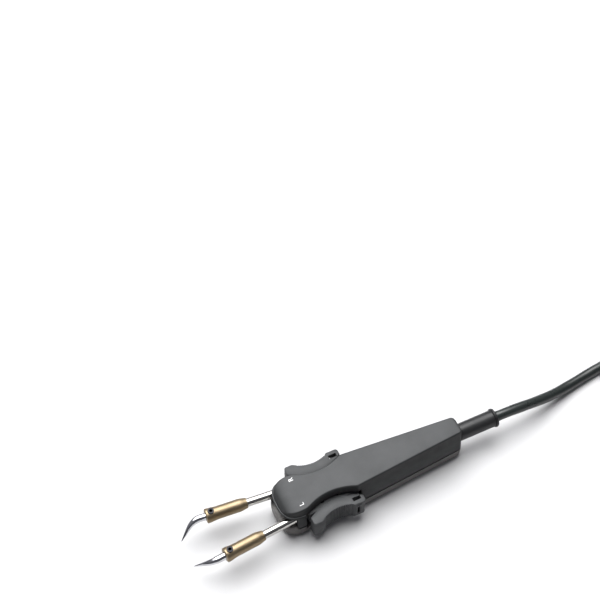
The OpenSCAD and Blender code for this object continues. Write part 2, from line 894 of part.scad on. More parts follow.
// CABLE CLAMP
clamp_cover = 1.4;
clamp_split = 0.3;
clamp_head_d = 1.8;
clamp_head_h = 0.6;
clamp_top = sleeve_z + cable_d / 2 + clamp_cover;
module cable_clamp() {
    color([0.35, 0.35, 0.35])
        difference() {
            translate([clamp_x, -clamp_half, sleeve_z + clamp_split])
                cube([clamp_l, 2 * clamp_half, clamp_top - sleeve_z - clamp_split]);
            clamp_holes(clamp_screw_d + 2 * run);
        }
}
module clamp_screws() {
    color([0.7, 0.7, 0.7])
        for (v = [-1, 1])
            translate([clamp_x + clamp_l / 2, v * clamp_screw_v, clamp_top + clamp_head_h])
                rotate([180, 0, 0])
                    pan_screw(clamp_screw_d, clamp_head_d, clamp_head_h, clamp_screw_l + clamp_head_h);
}

// CABLE AND SLEEVE
sleeve_end_x = tail_x + sleeve_l;
sleeve_collar_l = 1.8;
sleeve_collar_out = 0.7;
sleeve_edge = 0.3;
module cable_inner() {
    color([0.15, 0.16, 0.16])
        translate([cable_inner_x, 0, sleeve_z])
            rotate([0, 90, 0]) cylinder(d = cable_d, h = sleeve_end_x - cable_inner_x);
}

// Revolved about the cable: an inner flange behind the end wall, the sleeve, and its end collar
module sleeve() {
    bore = cable_d / 2 + seat;
    r = sleeve_d / 2;
    color([0.13, 0.13, 0.13])
        translate([0, 0, sleeve_z])
            rotate([0, 90, 0])
                rotate_extrude()
                    polygon([
                        [bore, flange_x],
                        [r + flange_out, flange_x],
                        [r + flange_out, flange_x + flange_l],
                        [r, flange_x + flange_l],
                        [r, sleeve_end_x - sleeve_collar_l],
                        [r + sleeve_collar_out, sleeve_end_x - sleeve_collar_l],
                        [r + sleeve_collar_out, sleeve_end_x - sleeve_edge],
                        [r + sleeve_collar_out - sleeve_edge, sleeve_end_x],
                        [bore, sleeve_end_x],
                    ]);
}

// The cable's route from the sleeve's end down to the surface and to its hank, by hand
cable_sides = 10;
cable_route = [
    [0, 0, 15.6],
    [7, 0, 15.5],
    [14, 0.1, 14.8],
    [21, 0.4, 13.5],
    [28, 0.9, 11.7],
    [35, 1.6, 9.7],
    [42, 2.6, 7.7],
    [49, 3.8, 6],
    [56, 5.1, 4.7],
    [63, 6.4, 3.8],
    [71, 7.8, 3.4],
    [79, 8.9, 3.3],
    [87, 9.8, 3.3],
    [94, 11.1, 3.3],
    [101, 12.9, 3.3],
    [109, 15.3, 3.3],
    [117, 17.6, 3.3],
    [125, 19.3, 3.3],
];
module cable() {
    color([0.12, 0.13, 0.13])
        translate([sleeve_end_x, 0, sleeve_z - cable_route[0][2]]) bar(cable_route, cable_d, cable_sides);
}

// The hank stands for the turns that lie beside and on each other: two below and two on top of them
hank_r = 22.75;
hank_run = 58;
hank_place = [sleeve_end_x + 161, -6, 0];
hank_h = 2 * cable_d;
hank_fn = 64;
module hank_block(r, from, h) {
    translate([0, 0, from])
        linear_extrude(h) {
            translate([-hank_run / 2, 0]) circle(r, $fn = hank_fn);
            translate([hank_run / 2, 0]) circle(r, $fn = hank_fn);
            translate([-hank_run / 2, -r]) square([hank_run, 2 * r]);
        }
}
module cable_hank() {
    color([0.12, 0.13, 0.13])
        translate(hank_place)
            difference() {
                hank_block(hank_r + cable_d, 0, hank_h);
                hank_block(hank_r - cable_d, -over, hank_h + 2 * over);
            }
}

// A strap over one side of the hank, open below
tie_x = -6;
tie_w = 6;
tie_t = 1;
module hank_tie() {
    half = cable_d + gap;
    color([0.1, 0.1, 0.1])
        translate(hank_place + [tie_x - tie_w / 2, hank_r, 0])
            difference() {
                translate([0, -half - tie_t, 0]) cube([tie_w, 2 * (half + tie_t), hank_h + gap + tie_t]);
                translate([-over, -half, -over]) cube([tie_w + 2 * over, 2 * half, hank_h + gap + over]);
            }
}

// The cable's short end over the hank up to the plug, by hand, from the hank's middle
tail_route = [
    [-40, 22.3, 13.6],
    [-34, 22.7, 15.1],
    [-28, 22.75, 17],
    [-22, 22.75, 19],
    [-17.5, 22.75, 20.5],
    [-14.5, 22.75, 21],
    [-12, 22.75, 21],
];
module cable_tail() {
    color([0.12, 0.13, 0.13]) translate(hank_place) bar(tail_route, cable_d, cable_sides);
}

// PLUG
plug_d = 16;
plug_l = 20;
nut_l = 7;
nut_out = 0.8;
nut_edge = 0.6;
boot_l = 18;
boot_end_d = 9;
boot_d = 12.8;
boot_shoulder_share = 0.8;
skirt_d = 12;
skirt_l = 8;
skirt_t = 0.8;
contact_d = 1.2;
contact_l = 6.5;
contact_ring_d = 6.4;
contact_count = 6;
plug_place = hank_place + tail_route[len(tail_route) - 1];

// Turns its children so that their Z points along the plug, away from the cable
module on_plug(from) {
    translate(plug_place + [from, 0, 0]) rotate([0, 90, 0]) children();
}
module plug_boot() {
    color([0.1, 0.1, 0.1])
        on_plug(0)
            rotate_extrude()
                polygon([
                    [0, 0],
                    [boot_end_d / 2, 0],
                    [boot_d / 2, boot_l * boot_shoulder_share],
                    [boot_d / 2, boot_l],
                    [0, boot_l],
                ]);
}
module plug_body() {
    color([0.12, 0.12, 0.12])
        on_plug(boot_l)
            rotate_extrude()
                polygon([
                    [0, 0],
                    [plug_d / 2 - nut_out, 0],
                    [plug_d / 2 - nut_out, plug_l - nut_l],
                    [plug_d / 2, plug_l - nut_l + nut_out],
                    [plug_d / 2, plug_l - nut_edge],
                    [plug_d / 2 - nut_edge, plug_l],
                    [0, plug_l],
                ]);
}
module plug_skirt() {
    color([0.75, 0.75, 0.75])
        on_plug(boot_l + plug_l)
            difference() {
                cylinder(d = skirt_d, h = skirt_l);
                translate([0, 0, -over]) cylinder(d = skirt_d - 2 * skirt_t, h = skirt_l + 2 * over);
            }
}
module plug_contacts() {
    color([0.85, 0.72, 0.4])
        on_plug(boot_l + plug_l)
            for (i = [0:contact_count - 1])
                rotate([0, 0, 360 * i / contact_count])
                    translate([contact_ring_d / 2, 0, 0]) cylinder(d = contact_d, h = contact_l);
}

upper_shell();
lower_shell();
shell_screws();
left_grip();
right_grip();
left_pivot_pin();
right_pivot_pin();
left_spring();
right_spring();
left_tube();
right_tube();
left_tube_screw();
right_tube_screw();
left_barrel();
right_barrel();
left_heater();
right_heater();
left_tip();
right_tip();
left_tip_screw();
right_tip_screw();
left_lead();
right_lead();
terminal_board();
terminal_pins();
cable_cores();
cable_clamp();
clamp_screws();
cable_inner();
sleeve();
cable();
cable_hank();
hank_tie();
cable_tail();
plug_boot();
plug_body();
plug_skirt();
plug_contacts();
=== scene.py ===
import json
import math

import bmesh
import bpy
from mathutils import Matrix, Vector


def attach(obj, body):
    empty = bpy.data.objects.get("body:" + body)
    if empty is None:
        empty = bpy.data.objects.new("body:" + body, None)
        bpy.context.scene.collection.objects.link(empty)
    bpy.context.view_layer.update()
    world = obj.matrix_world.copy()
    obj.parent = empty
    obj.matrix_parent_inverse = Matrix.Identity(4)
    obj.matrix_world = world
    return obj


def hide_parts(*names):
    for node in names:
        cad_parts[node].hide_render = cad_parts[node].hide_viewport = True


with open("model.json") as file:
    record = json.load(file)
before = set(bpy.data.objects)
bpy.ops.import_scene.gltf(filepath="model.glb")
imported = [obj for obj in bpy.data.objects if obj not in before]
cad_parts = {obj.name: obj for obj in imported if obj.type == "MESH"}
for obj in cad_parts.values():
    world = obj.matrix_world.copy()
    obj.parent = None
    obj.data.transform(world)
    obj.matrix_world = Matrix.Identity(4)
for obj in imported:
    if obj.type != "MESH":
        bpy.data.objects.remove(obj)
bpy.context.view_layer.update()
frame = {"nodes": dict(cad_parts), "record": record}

# Lengths below are in millimetres, as in the CAD source, and each finished mesh is scaled to metres
MM = 0.001

# Directions: up, towards the cable and towards the tips
UP, REARWARD, FORWARD = (0, 0, 1), (1, 0, 0), (-1, 0, 0)


def sin_d(a):
    return math.sin(math.radians(a))


def cos_d(a):
    return math.cos(math.radians(a))


# CAMERA
AZIMUTH, ELEVATION, DISTANCE = -25.72, 53.0, 0.9256
LOOK_AT = Vector((0.01885, 0.1336, 0.015))
back = Vector((sin_d(AZIMUTH) * cos_d(ELEVATION), -cos_d(AZIMUTH) * cos_d(ELEVATION), sin_d(ELEVATION)))
camera = bpy.data.objects.new("camera", bpy.data.cameras.new("camera"))
bpy.context.scene.collection.objects.link(camera)
camera.data.sensor_width = 36
camera.data.lens = 85
camera.data.clip_start = 0.01
camera.data.clip_end = 50
camera.location = LOOK_AT + DISTANCE * back
camera.rotation_mode = "QUATERNION"
camera.rotation_quaternion = (-back).to_track_quat("-Z", "Y")
bpy.context.scene.camera = camera


# MESH TOOLS
def mesh_object(name, verts, faces):
    mesh = bpy.data.meshes.new(name)
    mesh.from_pydata([tuple(v) for v in verts], [], faces)
    mesh.validate()
    obj = bpy.data.objects.new(name, mesh)
    bpy.context.scene.collection.objects.link(obj)
    return obj


def loft(name, rings, closed=False):
    """A solid through rings of equal point counts; closed joins the last ring to the first"""
    n, m = len(rings[0]), len(rings)
    faces = []
    for j in range(m if closed else m - 1):
        a, b = j * n, (j + 1) % m * n
        faces += [(a + i, a + (i + 1) % n, b + (i + 1) % n, b + i) for i in range(n)]
    if not closed:
        faces += [tuple(range(n - 1, -1, -1)), tuple(range((m - 1) * n, m * n))]
    return outward(mesh_object(name, [p for r in rings for p in r], faces))


def outward(obj):
    """Turns all faces to point out of the solid"""
    bm = bmesh.new()
    bm.from_mesh(obj.data)
    bmesh.ops.recalc_face_normals(bm, faces=bm.faces)
    bm.to_mesh(obj.data)
    bm.free()
    return obj


def spokes(along, steps):
    """Unit vectors square to a direction, at even angles round it"""
    u = along.orthogonal().normalized()
    v = along.cross(u)
    return [u * math.cos(a) + v * math.sin(a) for a in (2 * math.pi * k / steps for k in range(steps))]


def lathe(name, profile, at, along, steps=64):
    """Revolves a closed profile of (radius, distance) round the axis through a point"""
    along = Vector(along).normalized()
    rings = [[Vector(at) + along * t + spoke * r for r, t in profile] for spoke in spokes(along, steps)]
    return loft(name, rings, closed=True)


def rod(name, at, along, length, radius, steps=32):
    """A round bar that starts at a point"""
    along = Vector(along).normalized()
    ring = [spoke * radius for spoke in spokes(along, steps)]
    return loft(name, [[Vector(at) + p for p in ring], [Vector(at) + along * length + p for p in ring]])


def block(name, low, high):
    x0, y0, z0 = low
    x1, y1, z1 = high
    return loft(name, [[(x, y0, z0), (x, y1, z0), (x, y1, z1), (x, y0, z1)] for x in (x0, x1)])


def tube(name, path, radius, sides):
    """A bent bar along a path, with its rings carried along without twist; radius takes (share, angle)"""
    last = len(path) - 1
    side = None
    rings = []
    for i, p in enumerate(path):
        t = (path[min(i + 1, last)] - path[max(i - 1, 0)]).normalized()
        side = t.orthogonal().normalized() if side is None else (side - t * side.dot(t)).normalized()
        other = t.cross(side)
        ring = []
        for k in range(sides):
            a = 2 * math.pi * k / sides
            r = radius(i / last, a)
            ring.append(p + (side * math.cos(a) + other * math.sin(a)) * r)
        rings.append(ring)
    return loft(name, rings)


def smooth_path(points, step):
    """Points at even distances on a smooth curve through the given ones"""
    pts = [Vector(p) for p in points]
    pts = [2 * pts[0] - pts[1]] + pts + [2 * pts[-1] - pts[-2]]
    fine = []
    for i in range(1, len(pts) - 2):
        a, b, c, d = pts[i - 1 : i + 3]
        for k in range(24):
            t = k / 24
            fine.append(
                0.5 * (2 * b + (c - a) * t + (2 * a - 5 * b + 4 * c - d) * t**2 + (3 * b - a - 3 * c + d) * t**3)
            )
    fine.append(pts[-2])
    total = sum((q - p).length for p, q in zip(fine, fine[1:]))
    count = max(2, round(total / step))
    out, done, k = [fine[0]], 0.0, 0
    for i in range(1, count):
        want = total * i / count
        while done + (fine[k + 1] - fine[k]).length < want:
            done += (fine[k + 1] - fine[k]).length
            k += 1
        seg = fine[k + 1] - fine[k]
        out.append(fine[k] + seg * ((want - done) / seg.length))
    return out + [fine[-1]]


def apply_modifiers(obj):
    mesh = bpy.data.meshes.new_from_object(obj.evaluated_get(bpy.context.evaluated_depsgraph_get()))
    obj.modifiers.clear()
    obj.data = mesh
    return obj


def combine(obj, others, operation="DIFFERENCE"):
    """Cuts the others out of a solid, or adds them, and removes them"""
    for other in others:
        m = obj.modifiers.new("combine", "BOOLEAN")
        m.operation = operation
        m.solver = "EXACT"
        m.object = other
    apply_modifiers(obj)
    for other in others:
        bpy.data.objects.remove(other)
    return obj


def bevel(obj, width, angle=35, segments=2):
    m = obj.modifiers.new("bevel", "BEVEL")
    m.width = width
    m.segments = segments
    m.limit_method = "ANGLE"
    m.angle_limit = math.radians(angle)
    m.use_clamp_overlap = True
    return apply_modifiers(obj)


def join(obj, others):
    with bpy.context.temp_override(active_object=obj, selected_editable_objects=[obj, *others]):
        bpy.ops.object.join()
    return obj


def finished(obj, body, slot, nodes=(), material=None, angle=32):
    """Scales a piece to metres, smooths it up to an angle and puts it on its body"""
    obj.data.transform(Matrix.Scale(MM, 4))
    for p in obj.data.polygons:
        p.use_smooth = True
    obj.data.set_sharp_from_angle(angle=math.radians(angle))
    obj.data.materials.clear()
    obj.data.materials.append(material or MATERIALS[slot])
    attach(obj, body)
    if nodes:
        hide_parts(*nodes)
    return obj


# MATERIALS
def base_material(name, colour, rough, metal=0.0, **sockets):
    m = bpy.data.materials.new(name)
    m.use_nodes = True
    shader = m.node_tree.nodes["Principled BSDF"]
    shader.inputs["Base Color"].default_value = (*colour, 1)
    shader.inputs["Roughness"].default_value = rough
    shader.inputs["Metallic"].default_value = metal
    for key, value in sockets.items():
        shader.inputs[key.replace("_", " ")].default_value = value
    return m, m.node_tree, shader


def coordinates(tree, stretch=(1, 1, 1)):
    where = tree.nodes.new("ShaderNodeTexCoord")
    if stretch == (1, 1, 1):
        return where.outputs["Object"]
    mapping = tree.nodes.new("ShaderNodeMapping")
    mapping.inputs["Scale"].default_value = stretch
    tree.links.new(where.outputs["Object"], mapping.inputs["Vector"])
    return mapping.outputs["Vector"]


def noise(tree, vector, scale, detail=2.0, rough=0.5):
    n = tree.nodes.new("ShaderNodeTexNoise")
    n.inputs["Scale"].default_value = scale
    n.inputs["Detail"].default_value = detail
    n.inputs["Roughness"].default_value = rough
    tree.links.new(vector, n.inputs["Vector"])
    return n.outputs["Fac"]


def map_range(tree, value, low, high, to_low, to_high):
    m = tree.nodes.new("ShaderNodeMapRange")
    for key, v in (("From Min", low), ("From Max", high), ("To Min", to_low), ("To Max", to_high)):
        m.inputs[key].default_value = v
    tree.links.new(value, m.inputs["Value"])
    return m.outputs["Result"]


def ramp(tree, value, stops):
    r = tree.nodes.new("ShaderNodeValToRGB")
    r.color_ramp.elements[0].position = stops[0][0]
    r.color_ramp.elements[0].color = (*stops[0][1], 1)
    r.color_ramp.elements[1].position = stops[-1][0]
    r.color_ramp.elements[1].color = (*stops[-1][1], 1)
    for position, colour in stops[1:-1]:
        e = r.color_ramp.elements.new(position)
        e.color = (*colour, 1)
    tree.links.new(value, r.inputs["Fac"])
    return r.outputs["Color"]


def bump(tree, height, distance):
    b = tree.nodes.new("ShaderNodeBump")
    b.inputs["Distance"].default_value = distance
    tree.links.new(height, b.inputs["Height"])
    return b.outputs["Normal"]


def multiply(tree, a, b, factor):
    mix = tree.nodes.new("ShaderNodeMix")
    mix.data_type = "RGBA"
    mix.blend_type = "MULTIPLY"
    mix.inputs["Factor"].default_value = factor
    tree.links.new(a, mix.inputs["A"])
    tree.links.new(b, mix.inputs["B"])
    return mix.outputs["Result"]


def z_of(tree, vector):
    split = tree.nodes.new("ShaderNodeSeparateXYZ")
    tree.links.new(vector, split.inputs["Vector"])
    return split.outputs["Z"]


def shade(colour, k):
    return tuple(min(1.0, c * k) for c in colour)


# How far a face looks up: full painted side shade below the first value, none from the second
SIDE_LEVEL, TOP_LEVEL = 0.8, 0.995
# Painted bounce light lightens the sides most up to the first height and not above the second, in metres
BOUNCE_FULL_Z, BOUNCE_GONE_Z = 0.010, 0.021


def painted_side_shade(tree, at, painted_side_share, painted_bounce):
    """The share of its colour that a face keeps: painted shade, less on faces that look less up, and painted bounce
    light, more low down on the sides
    """
    facing = tree.nodes.new("ShaderNodeTexCoord").outputs["Normal"]
    level = map_range(tree, z_of(tree, facing), SIDE_LEVEL, TOP_LEVEL, 0.0, 1.0)
    bounce_share = map_range(tree, z_of(tree, at), BOUNCE_FULL_Z, BOUNCE_GONE_Z, painted_bounce, 0.0)
    higher = tree.nodes.new("ShaderNodeMath")
    higher.operation = "MAXIMUM"
    tree.links.new(level, higher.inputs[0])
    tree.links.new(bounce_share, higher.inputs[1])
    return ramp(tree, higher.outputs["Value"], [(0, (painted_side_share,) * 3), (1, (1, 1, 1))])


def plastic(name, colour, rough, grain=2600, depth=0.00003, spread=0.12, painted_side_share=1.0, painted_bounce=0.0, **sockets):
    """Moulded plastic: an eroded grain, slow changes of tone and rubbed gloss"""
    m, tree, shader = base_material(name, colour, rough, **sockets)
    at = coordinates(tree)
    tone = noise(tree, at, 45, 4, 0.6)
    fine = noise(tree, at, grain, 2, 0.6)
    gloss = noise(tree, at, 160, 5, 0.65)
    colours = ramp(tree, tone, [(0.3, shade(colour, 1 - spread)), (0.7, shade(colour, 1 + spread))])
    speck = ramp(tree, fine, [(0.3, (0.86, 0.86, 0.86)), (0.7, (1, 1, 1))])
    colours = multiply(tree, colours, speck, 0.8)
    # Painted shade on faces that look less up, the sides and the nose's slope, and painted bounce light low on the
    # sides
    if painted_side_share < 1:
        colours = multiply(tree, colours, painted_side_shade(tree, at, painted_side_share, painted_bounce), 1)
    tree.links.new(colours, shader.inputs["Base Color"])
    tree.links.new(map_range(tree, gloss, 0.3, 0.7, rough - 0.06, rough + 0.07), shader.inputs["Roughness"])
    tree.links.new(bump(tree, fine, depth), shader.inputs["Normal"])
    return m


def metal(name, colour, rough, marks=(1, 1, 1), scale=900, depth=0.000002, stain=None):
    """Machined metal: fine tool marks, uneven polish and a little staining"""
    m, tree, shader = base_material(name, colour, rough, 1.0)
    lines = noise(tree, coordinates(tree, marks), scale, 3, 0.6)
    cloud = noise(tree, coordinates(tree), 120, 4, 0.6)
    colours = ramp(tree, cloud, [(0.35, stain or shade(colour, 0.88)), (0.6, colour)])
    tree.links.new(colours, shader.inputs["Base Color"])
    tree.links.new(map_range(tree, lines, 0.25, 0.75, rough * 0.8, rough * 1.25), shader.inputs["Roughness"])
    tree.links.new(bump(tree, lines, depth), shader.inputs["Normal"])
    return m


# One material for each slot of the CAD, under the slot's name
MATERIALS = {
    # The upper shell and the grips get painted shade on their sides; the upper shell also gets painted bounce light
    # low on them
    "upper_shell": plastic(
        "upper shell plastic", (0.067, 0.069, 0.071), 0.5, painted_side_share=0.43, painted_bounce=0.5, Specular_IOR_Level=0.15
    ),
    "lower_shell": plastic(
        "lower shell plastic", (0.105, 0.099, 0.096), 0.42, grain=2200, depth=0.000022, Specular_IOR_Level=0.3
    ),
    "grip": plastic(
        "grip plastic", (0.057, 0.059, 0.061), 0.5, grain=2400, depth=0.000028, painted_side_share=0.95, Specular_IOR_Level=0.2
    ),
    "screw_steel": metal("screw steel", (0.55, 0.55, 0.56), 0.32),
    "black_steel": metal("blackened steel", (0.018, 0.018, 0.02), 0.34),
    "pin_steel": metal("pin steel", (0.62, 0.62, 0.63), 0.2),
    "tube_steel": metal(
        "tube steel", (0.50, 0.49, 0.465), 0.1, marks=(0.1, 1, 1), scale=2500, depth=0.0000006
    ),
    "barrel_metal": metal(
        "barrel metal", (0.262, 0.206, 0.133), 0.44, marks=(1, 0.15, 0.15), scale=5000, depth=0.0000012,
        stain=(0.222, 0.172, 0.108),
    ),
    "tip_chrome": metal("tip chrome", (0.60, 0.60, 0.62), 0.09, scale=1200, depth=0.000001),
    "ceramic": plastic("ceramic", (0.78, 0.75, 0.68), 0.4, grain=3500, depth=0.00001, spread=0.04),
    "lead_sleeve": plastic("lead sleeving", (0.55, 0.50, 0.40), 0.6, grain=5000, depth=0.00004),
    "board": plastic("board laminate", (0.03, 0.16, 0.08), 0.35, grain=6000, depth=0.00001),
    "terminal_brass": metal("terminal brass", (0.75, 0.55, 0.24), 0.25),
    "core_rubber": plastic("core insulation", (0.32, 0.03, 0.025), 0.45, grain=4000, depth=0.00001),
    "clamp_plastic": plastic("clamp plastic", (0.07, 0.07, 0.07), 0.5),
    "sleeve_rubber": plastic(
        "sleeve rubber", (0.013, 0.013, 0.014), 0.4, grain=1800, depth=0.00002, spread=0.25, Specular_IOR_Level=0.35
    ),
    "cable_rubber": plastic(
        "cable rubber", (0.013, 0.017, 0.016), 0.3, grain=1500, depth=0.00002, spread=0.3, Specular_IOR_Level=0.5
    ),
    "tie_plastic": plastic("tie plastic", (0.015, 0.015, 0.015), 0.5),
    "plug_plastic": plastic("plug plastic", (0.02, 0.02, 0.02), 0.45, grain=2000),
    "plug_metal": metal("plug metal", (0.68, 0.68, 0.68), 0.22),
}
# Near-black painted shade for the sheet in the parting gap
REBATE_DARK = plastic("rebate shadow", (0.006, 0.006, 0.006), 0.8, Specular_IOR_Level=0.0)


# THE CAD'S OWN VALUES, repeated from its source
gap, seat = 0.4, 0.02
body_l, body_h, parting_z, wall, plate_t, edge_r = 121, 27, 10.5, 2, 2.2, 1.1
lobe_half, waist_half, shoulder_half, tail_half, draft, scallop_r = 12.6, 8.2, 12, 6, 1.9, 34
nose_l, nose_drop, slope_l, lip_h = 12, 6, 14, 1.3
grip_top, grip_in_half, grip_out_half = 21, 10.6, 17.1
grip_front_half, grip_rear_half, finger_r, rib_d, rib_count = 21.1, 19.6, 21, 0.4, 16
arm_open, pivot_half, pin_d, arm_z, arm_w, arm_l, boss_d = 5, 6.6, 3, 16, 8.6, 31, 5.6
tube_d, reach_l, barrel_l, barrel_d, taper_l = 5.2, 85.1, 25.6, 7.8, 3.4
tube_wall, tube_rear, tube_front = 0.5, 9, reach_l - barrel_l + 5
tip_l, tip_drop, tip_in = 17.4, 7.5, 6.7
wire_d = 0.6
cable_d, sleeve_d, sleeve_l, sleeve_z = 6.5, 10.6, 26.7, 15.6

# Fitted to the photo after the CAD was final, which has 9, 1.8 and 2.4, and no values for the shadow gap
grip_bottom, tail_r, nose_power = 7, 2.5, 2.75
GAP_TOP, GAP_LOW = 0.25, 1.15

nose_x, tail_x = -body_l / 2, body_l / 2
lobe_x, slope_x = nose_x + nose_l, nose_x + slope_l
scallop_x = nose_x + 0.256 * body_l
front_corner_x = scallop_x - math.sqrt(scallop_r**2 - (scallop_r + waist_half - lobe_half) ** 2)
rear_corner_x = scallop_x + math.sqrt(scallop_r**2 - (scallop_r + waist_half - shoulder_half) ** 2)
roof_z = body_h - plate_t
niche_front_x, niche_rear_x = front_corner_x - 1.4, rear_corner_x + 2.6
niche_bottom, niche_top = grip_bottom - gap, grip_top + gap
cavity_front_x = niche_front_x + wall
mouth_x = nose_x + 7.2
mouth_top = arm_z + tube_d / 2 + gap
lip_z = body_h - nose_drop - lip_h + 0.6
grip_front_x, grip_rear_x = niche_front_x + 1.5, niche_rear_x - 0.4
grip_mid_x = scallop_x + 1
port_x = grip_rear_x - 4.6
hub_bottom, hub_top = arm_z - 4.6, arm_z + 3.8
pivot_x = port_x + 1
board_x, board_l, board_z = pivot_x + 17, 20, parting_z + 1
chin_x, chin_z = nose_x - 1, parting_z + 1.4
flange_x = tail_x - wall - 2
sleeve_end_x = tail_x + sleeve_l
screw_places = [nose_x + 10.2, pivot_x + 7.8, tail_x - 26.5]


# CABLE: one smooth line from the sleeve along the floor into a folded hank and up into the plug
def step_up(x):
    x = min(1.0, max(0.0, x))
    return x * x * (3 - 2 * x)


# The middle of the hank, its straight run, and the radius that its ends turn with
HANK = Vector((sleeve_end_x + 161, -6, 0))
HANK_RUN, HANK_R = 58, 3.5 * cable_d
LOW_Z, HIGH_Z = cable_d / 2, cable_d * 1.5
TOP_Z = HIGH_Z + cable_d * math.sqrt(3) / 2
FOLD = math.pi * HANK_R
LOOP = 2 * FOLD + 2 * HANK_RUN
TURNS, TURN_STEPS = 4, 44
# The places that the turns take one after the other, as radius and height
PLACES = [
    (HANK_R + cable_d / 2, LOW_Z), (HANK_R - cable_d / 2, LOW_Z), (HANK_R - cable_d / 2, HIGH_Z),
    (HANK_R + cable_d / 2, HIGH_Z), (HANK_R, TOP_Z),
]
# How far before its end each turn starts and ends its move sideways, then its move upwards
MOVES = [(62, 2, 1, 0), (1, 0, 104, 50), (150, 92, 1, 0), (196, 140, 222, 160)]
# The last turn is up to 1 mm higher while it crosses the others: where it starts to rise and to fall, and over what
LIFT_FROM, LIFT_RUN, DROP_FROM, DROP_RUN = 222, 50, 110, 40
# It leaves the hank upwards, along a parabola over its last part
EXIT_RUN, EXIT_RISE = 16, 0.00625


def hank_point(turn, left):
    """A point of a turn at a distance before its end, clockwise from the rear end of the far run"""
    (r0, z0), (r1, z1) = PLACES[turn], PLACES[turn + 1]
    side_start, side_end, rise_start, rise_end = MOVES[turn]
    r = r0 + (r1 - r0) * step_up((side_start - left) / (side_start - side_end))
    z = z0 + (z1 - z0) * step_up((rise_start - left) / (rise_start - rise_end))
    if turn == TURNS - 1:
        z += step_up((LIFT_FROM - left) / LIFT_RUN) * (1 - step_up((DROP_FROM - left) / DROP_RUN))
        z += EXIT_RISE * max(0, EXIT_RUN - left) ** 2
    if left > 2 * FOLD + HANK_RUN:
        place = (HANK_RUN / 2 - (left - 2 * FOLD - HANK_RUN), r)
    elif left > FOLD + HANK_RUN:
        a = math.pi * (left - FOLD - HANK_RUN) / FOLD
        place = (HANK_RUN / 2 + r * math.sin(a), -r * math.cos(a))
    elif left > FOLD:
        place = (left - FOLD - HANK_RUN / 2, -r)
    else:
        a = math.pi * left / FOLD
        place = (-HANK_RUN / 2 - r * math.sin(a), r * math.cos(a))
    return HANK + Vector((*place, z))


# Points behind the sleeve's end, and points from the middle of the hank to the plug
lead_in = [
    (0, 0, 15.6), (7, 0, 15.5), (14, 0.1, 14.8), (21, 0.4, 13.5), (28, 0.9, 11.7), (35, 1.6, 9.7), (42, 2.6, 7.7),
    (49, 3.8, 6), (56, 5.1, 4.7), (63, 6.4, 3.8), (71, 7.8, 3.35), (79, 8.9, 3.25), (87, 9.9, 3.25), (94, 11.2, 3.25),
    (101, 13, 3.25), (109, 15.4, 3.25), (117, 17.7, 3.25), (125, 19.3, 3.25),
]
tail_out = [(-24, 22.75, 18.2), (-19, 22.75, 19.55), (-14, 22.75, 20.6), (-9, 22.75, 21), (-5, 22.75, 21)]
cable_points = [Vector((sleeve_end_x - 2, 0, sleeve_z))]
cable_points += [Vector((sleeve_end_x + x, y, z)) for x, y, z in lead_in]
cable_points += [hank_point(turn, LOOP * (1 - i / TURN_STEPS)) for turn in range(TURNS) for i in range(TURN_STEPS)]
cable_points += [hank_point(TURNS - 1, 0)]
cable_points += [HANK + Vector(p) for p in tail_out]
cable_path = smooth_path(cable_points, 2.4)
cable_length = sum((q - p).length for p, q in zip(cable_path, cable_path[1:])) * MM
# The length in which the twisted cores go round once
CORE_LAY = 21


def cable_radius(share, angle):
    """Two cores lie twisted under the jacket and show as a slow wave"""
    turned = math.pi * share * cable_length / MM / CORE_LAY
    return cable_d / 2 * (0.995 + 0.018 * math.cos(2 * (angle - turned)))


cable = tube("cable_run", cable_path, cable_radius, sides=20)
finished(cable, "housing", "cable_rubber", ["cable", "cable_hank", "cable_tail"], angle=50)


# HANK TIE: a strap over the four runs of the far side, as (y, z) of its line and (x, outwards) of its section
tie_half = [(-6.95, 0.1), (-6.95, 4), (-6.95, 9), (-6.3, 12.1), (-3.6, 13.4)]
tie_line = tie_half + [(0, 13.4)] + [(-y, z) for y, z in tie_half[::-1]]
TIE_SECTION = [(-3, 0), (-3, 0.75), (-2.8, 0.9), (2.8, 0.9), (3, 0.75), (3, 0)]
tie_path = smooth_path([(0, y, z) for y, z in tie_line], 1.1)
tie_last = len(tie_path) - 1
tie_rings = []
for i, p in enumerate(tie_path):
    t = (tie_path[min(i + 1, tie_last)] - tie_path[max(i - 1, 0)]).normalized()
    n = Vector((0, -t.z, t.y))
    tie_rings.append([p + Vector((v, 0, 0)) + n * w for v, w in TIE_SECTION])
tie = loft("tie_strap", tie_rings)
tie.data.transform(Matrix.Translation(HANK + Vector((-6, HANK_R, 0))))
finished(tie, "housing", "tie_plastic", ["hank_tie"])

# PLUG, on top of the hank: a grooved boot, a knurled body, and a metal skirt round an insert
plug_at = HANK + Vector((-12, HANK_R, 21))
plug_body_at = plug_at + Vector((18, 0, 0))
plug_front_at = plug_at + Vector((38, 0, 0))
BORE_R = 0.4
BOOT_R, BOOT_WIDER, BOOT_TAPER_L = 4.5, 1.9, 14.4
GROOVES, GROOVE_START, GROOVE_PITCH, GROOVE_DEPTH = 6, 2.2, 2.1, 0.55
boot_profile = [(BORE_R, 0), (4.1, 0), (BOOT_R, 0.4)]
for i in range(GROOVES):
    t = GROOVE_START + GROOVE_PITCH * i
    r = BOOT_R + BOOT_WIDER * (t / BOOT_TAPER_L)
    boot_profile += [
        (r, t - 0.55), (r - GROOVE_DEPTH, t - 0.35), (r - GROOVE_DEPTH, t + 0.35), (r + 0.12, t + 0.55),
    ]
boot_profile += [(6.4, 14.6), (6.4, 17.9), (BORE_R, 17.9)]
boot = lathe("plug_sleeve", boot_profile, plug_at, REARWARD, 48)
finished(boot, "housing", "plug_plastic", ["plug_boot"])

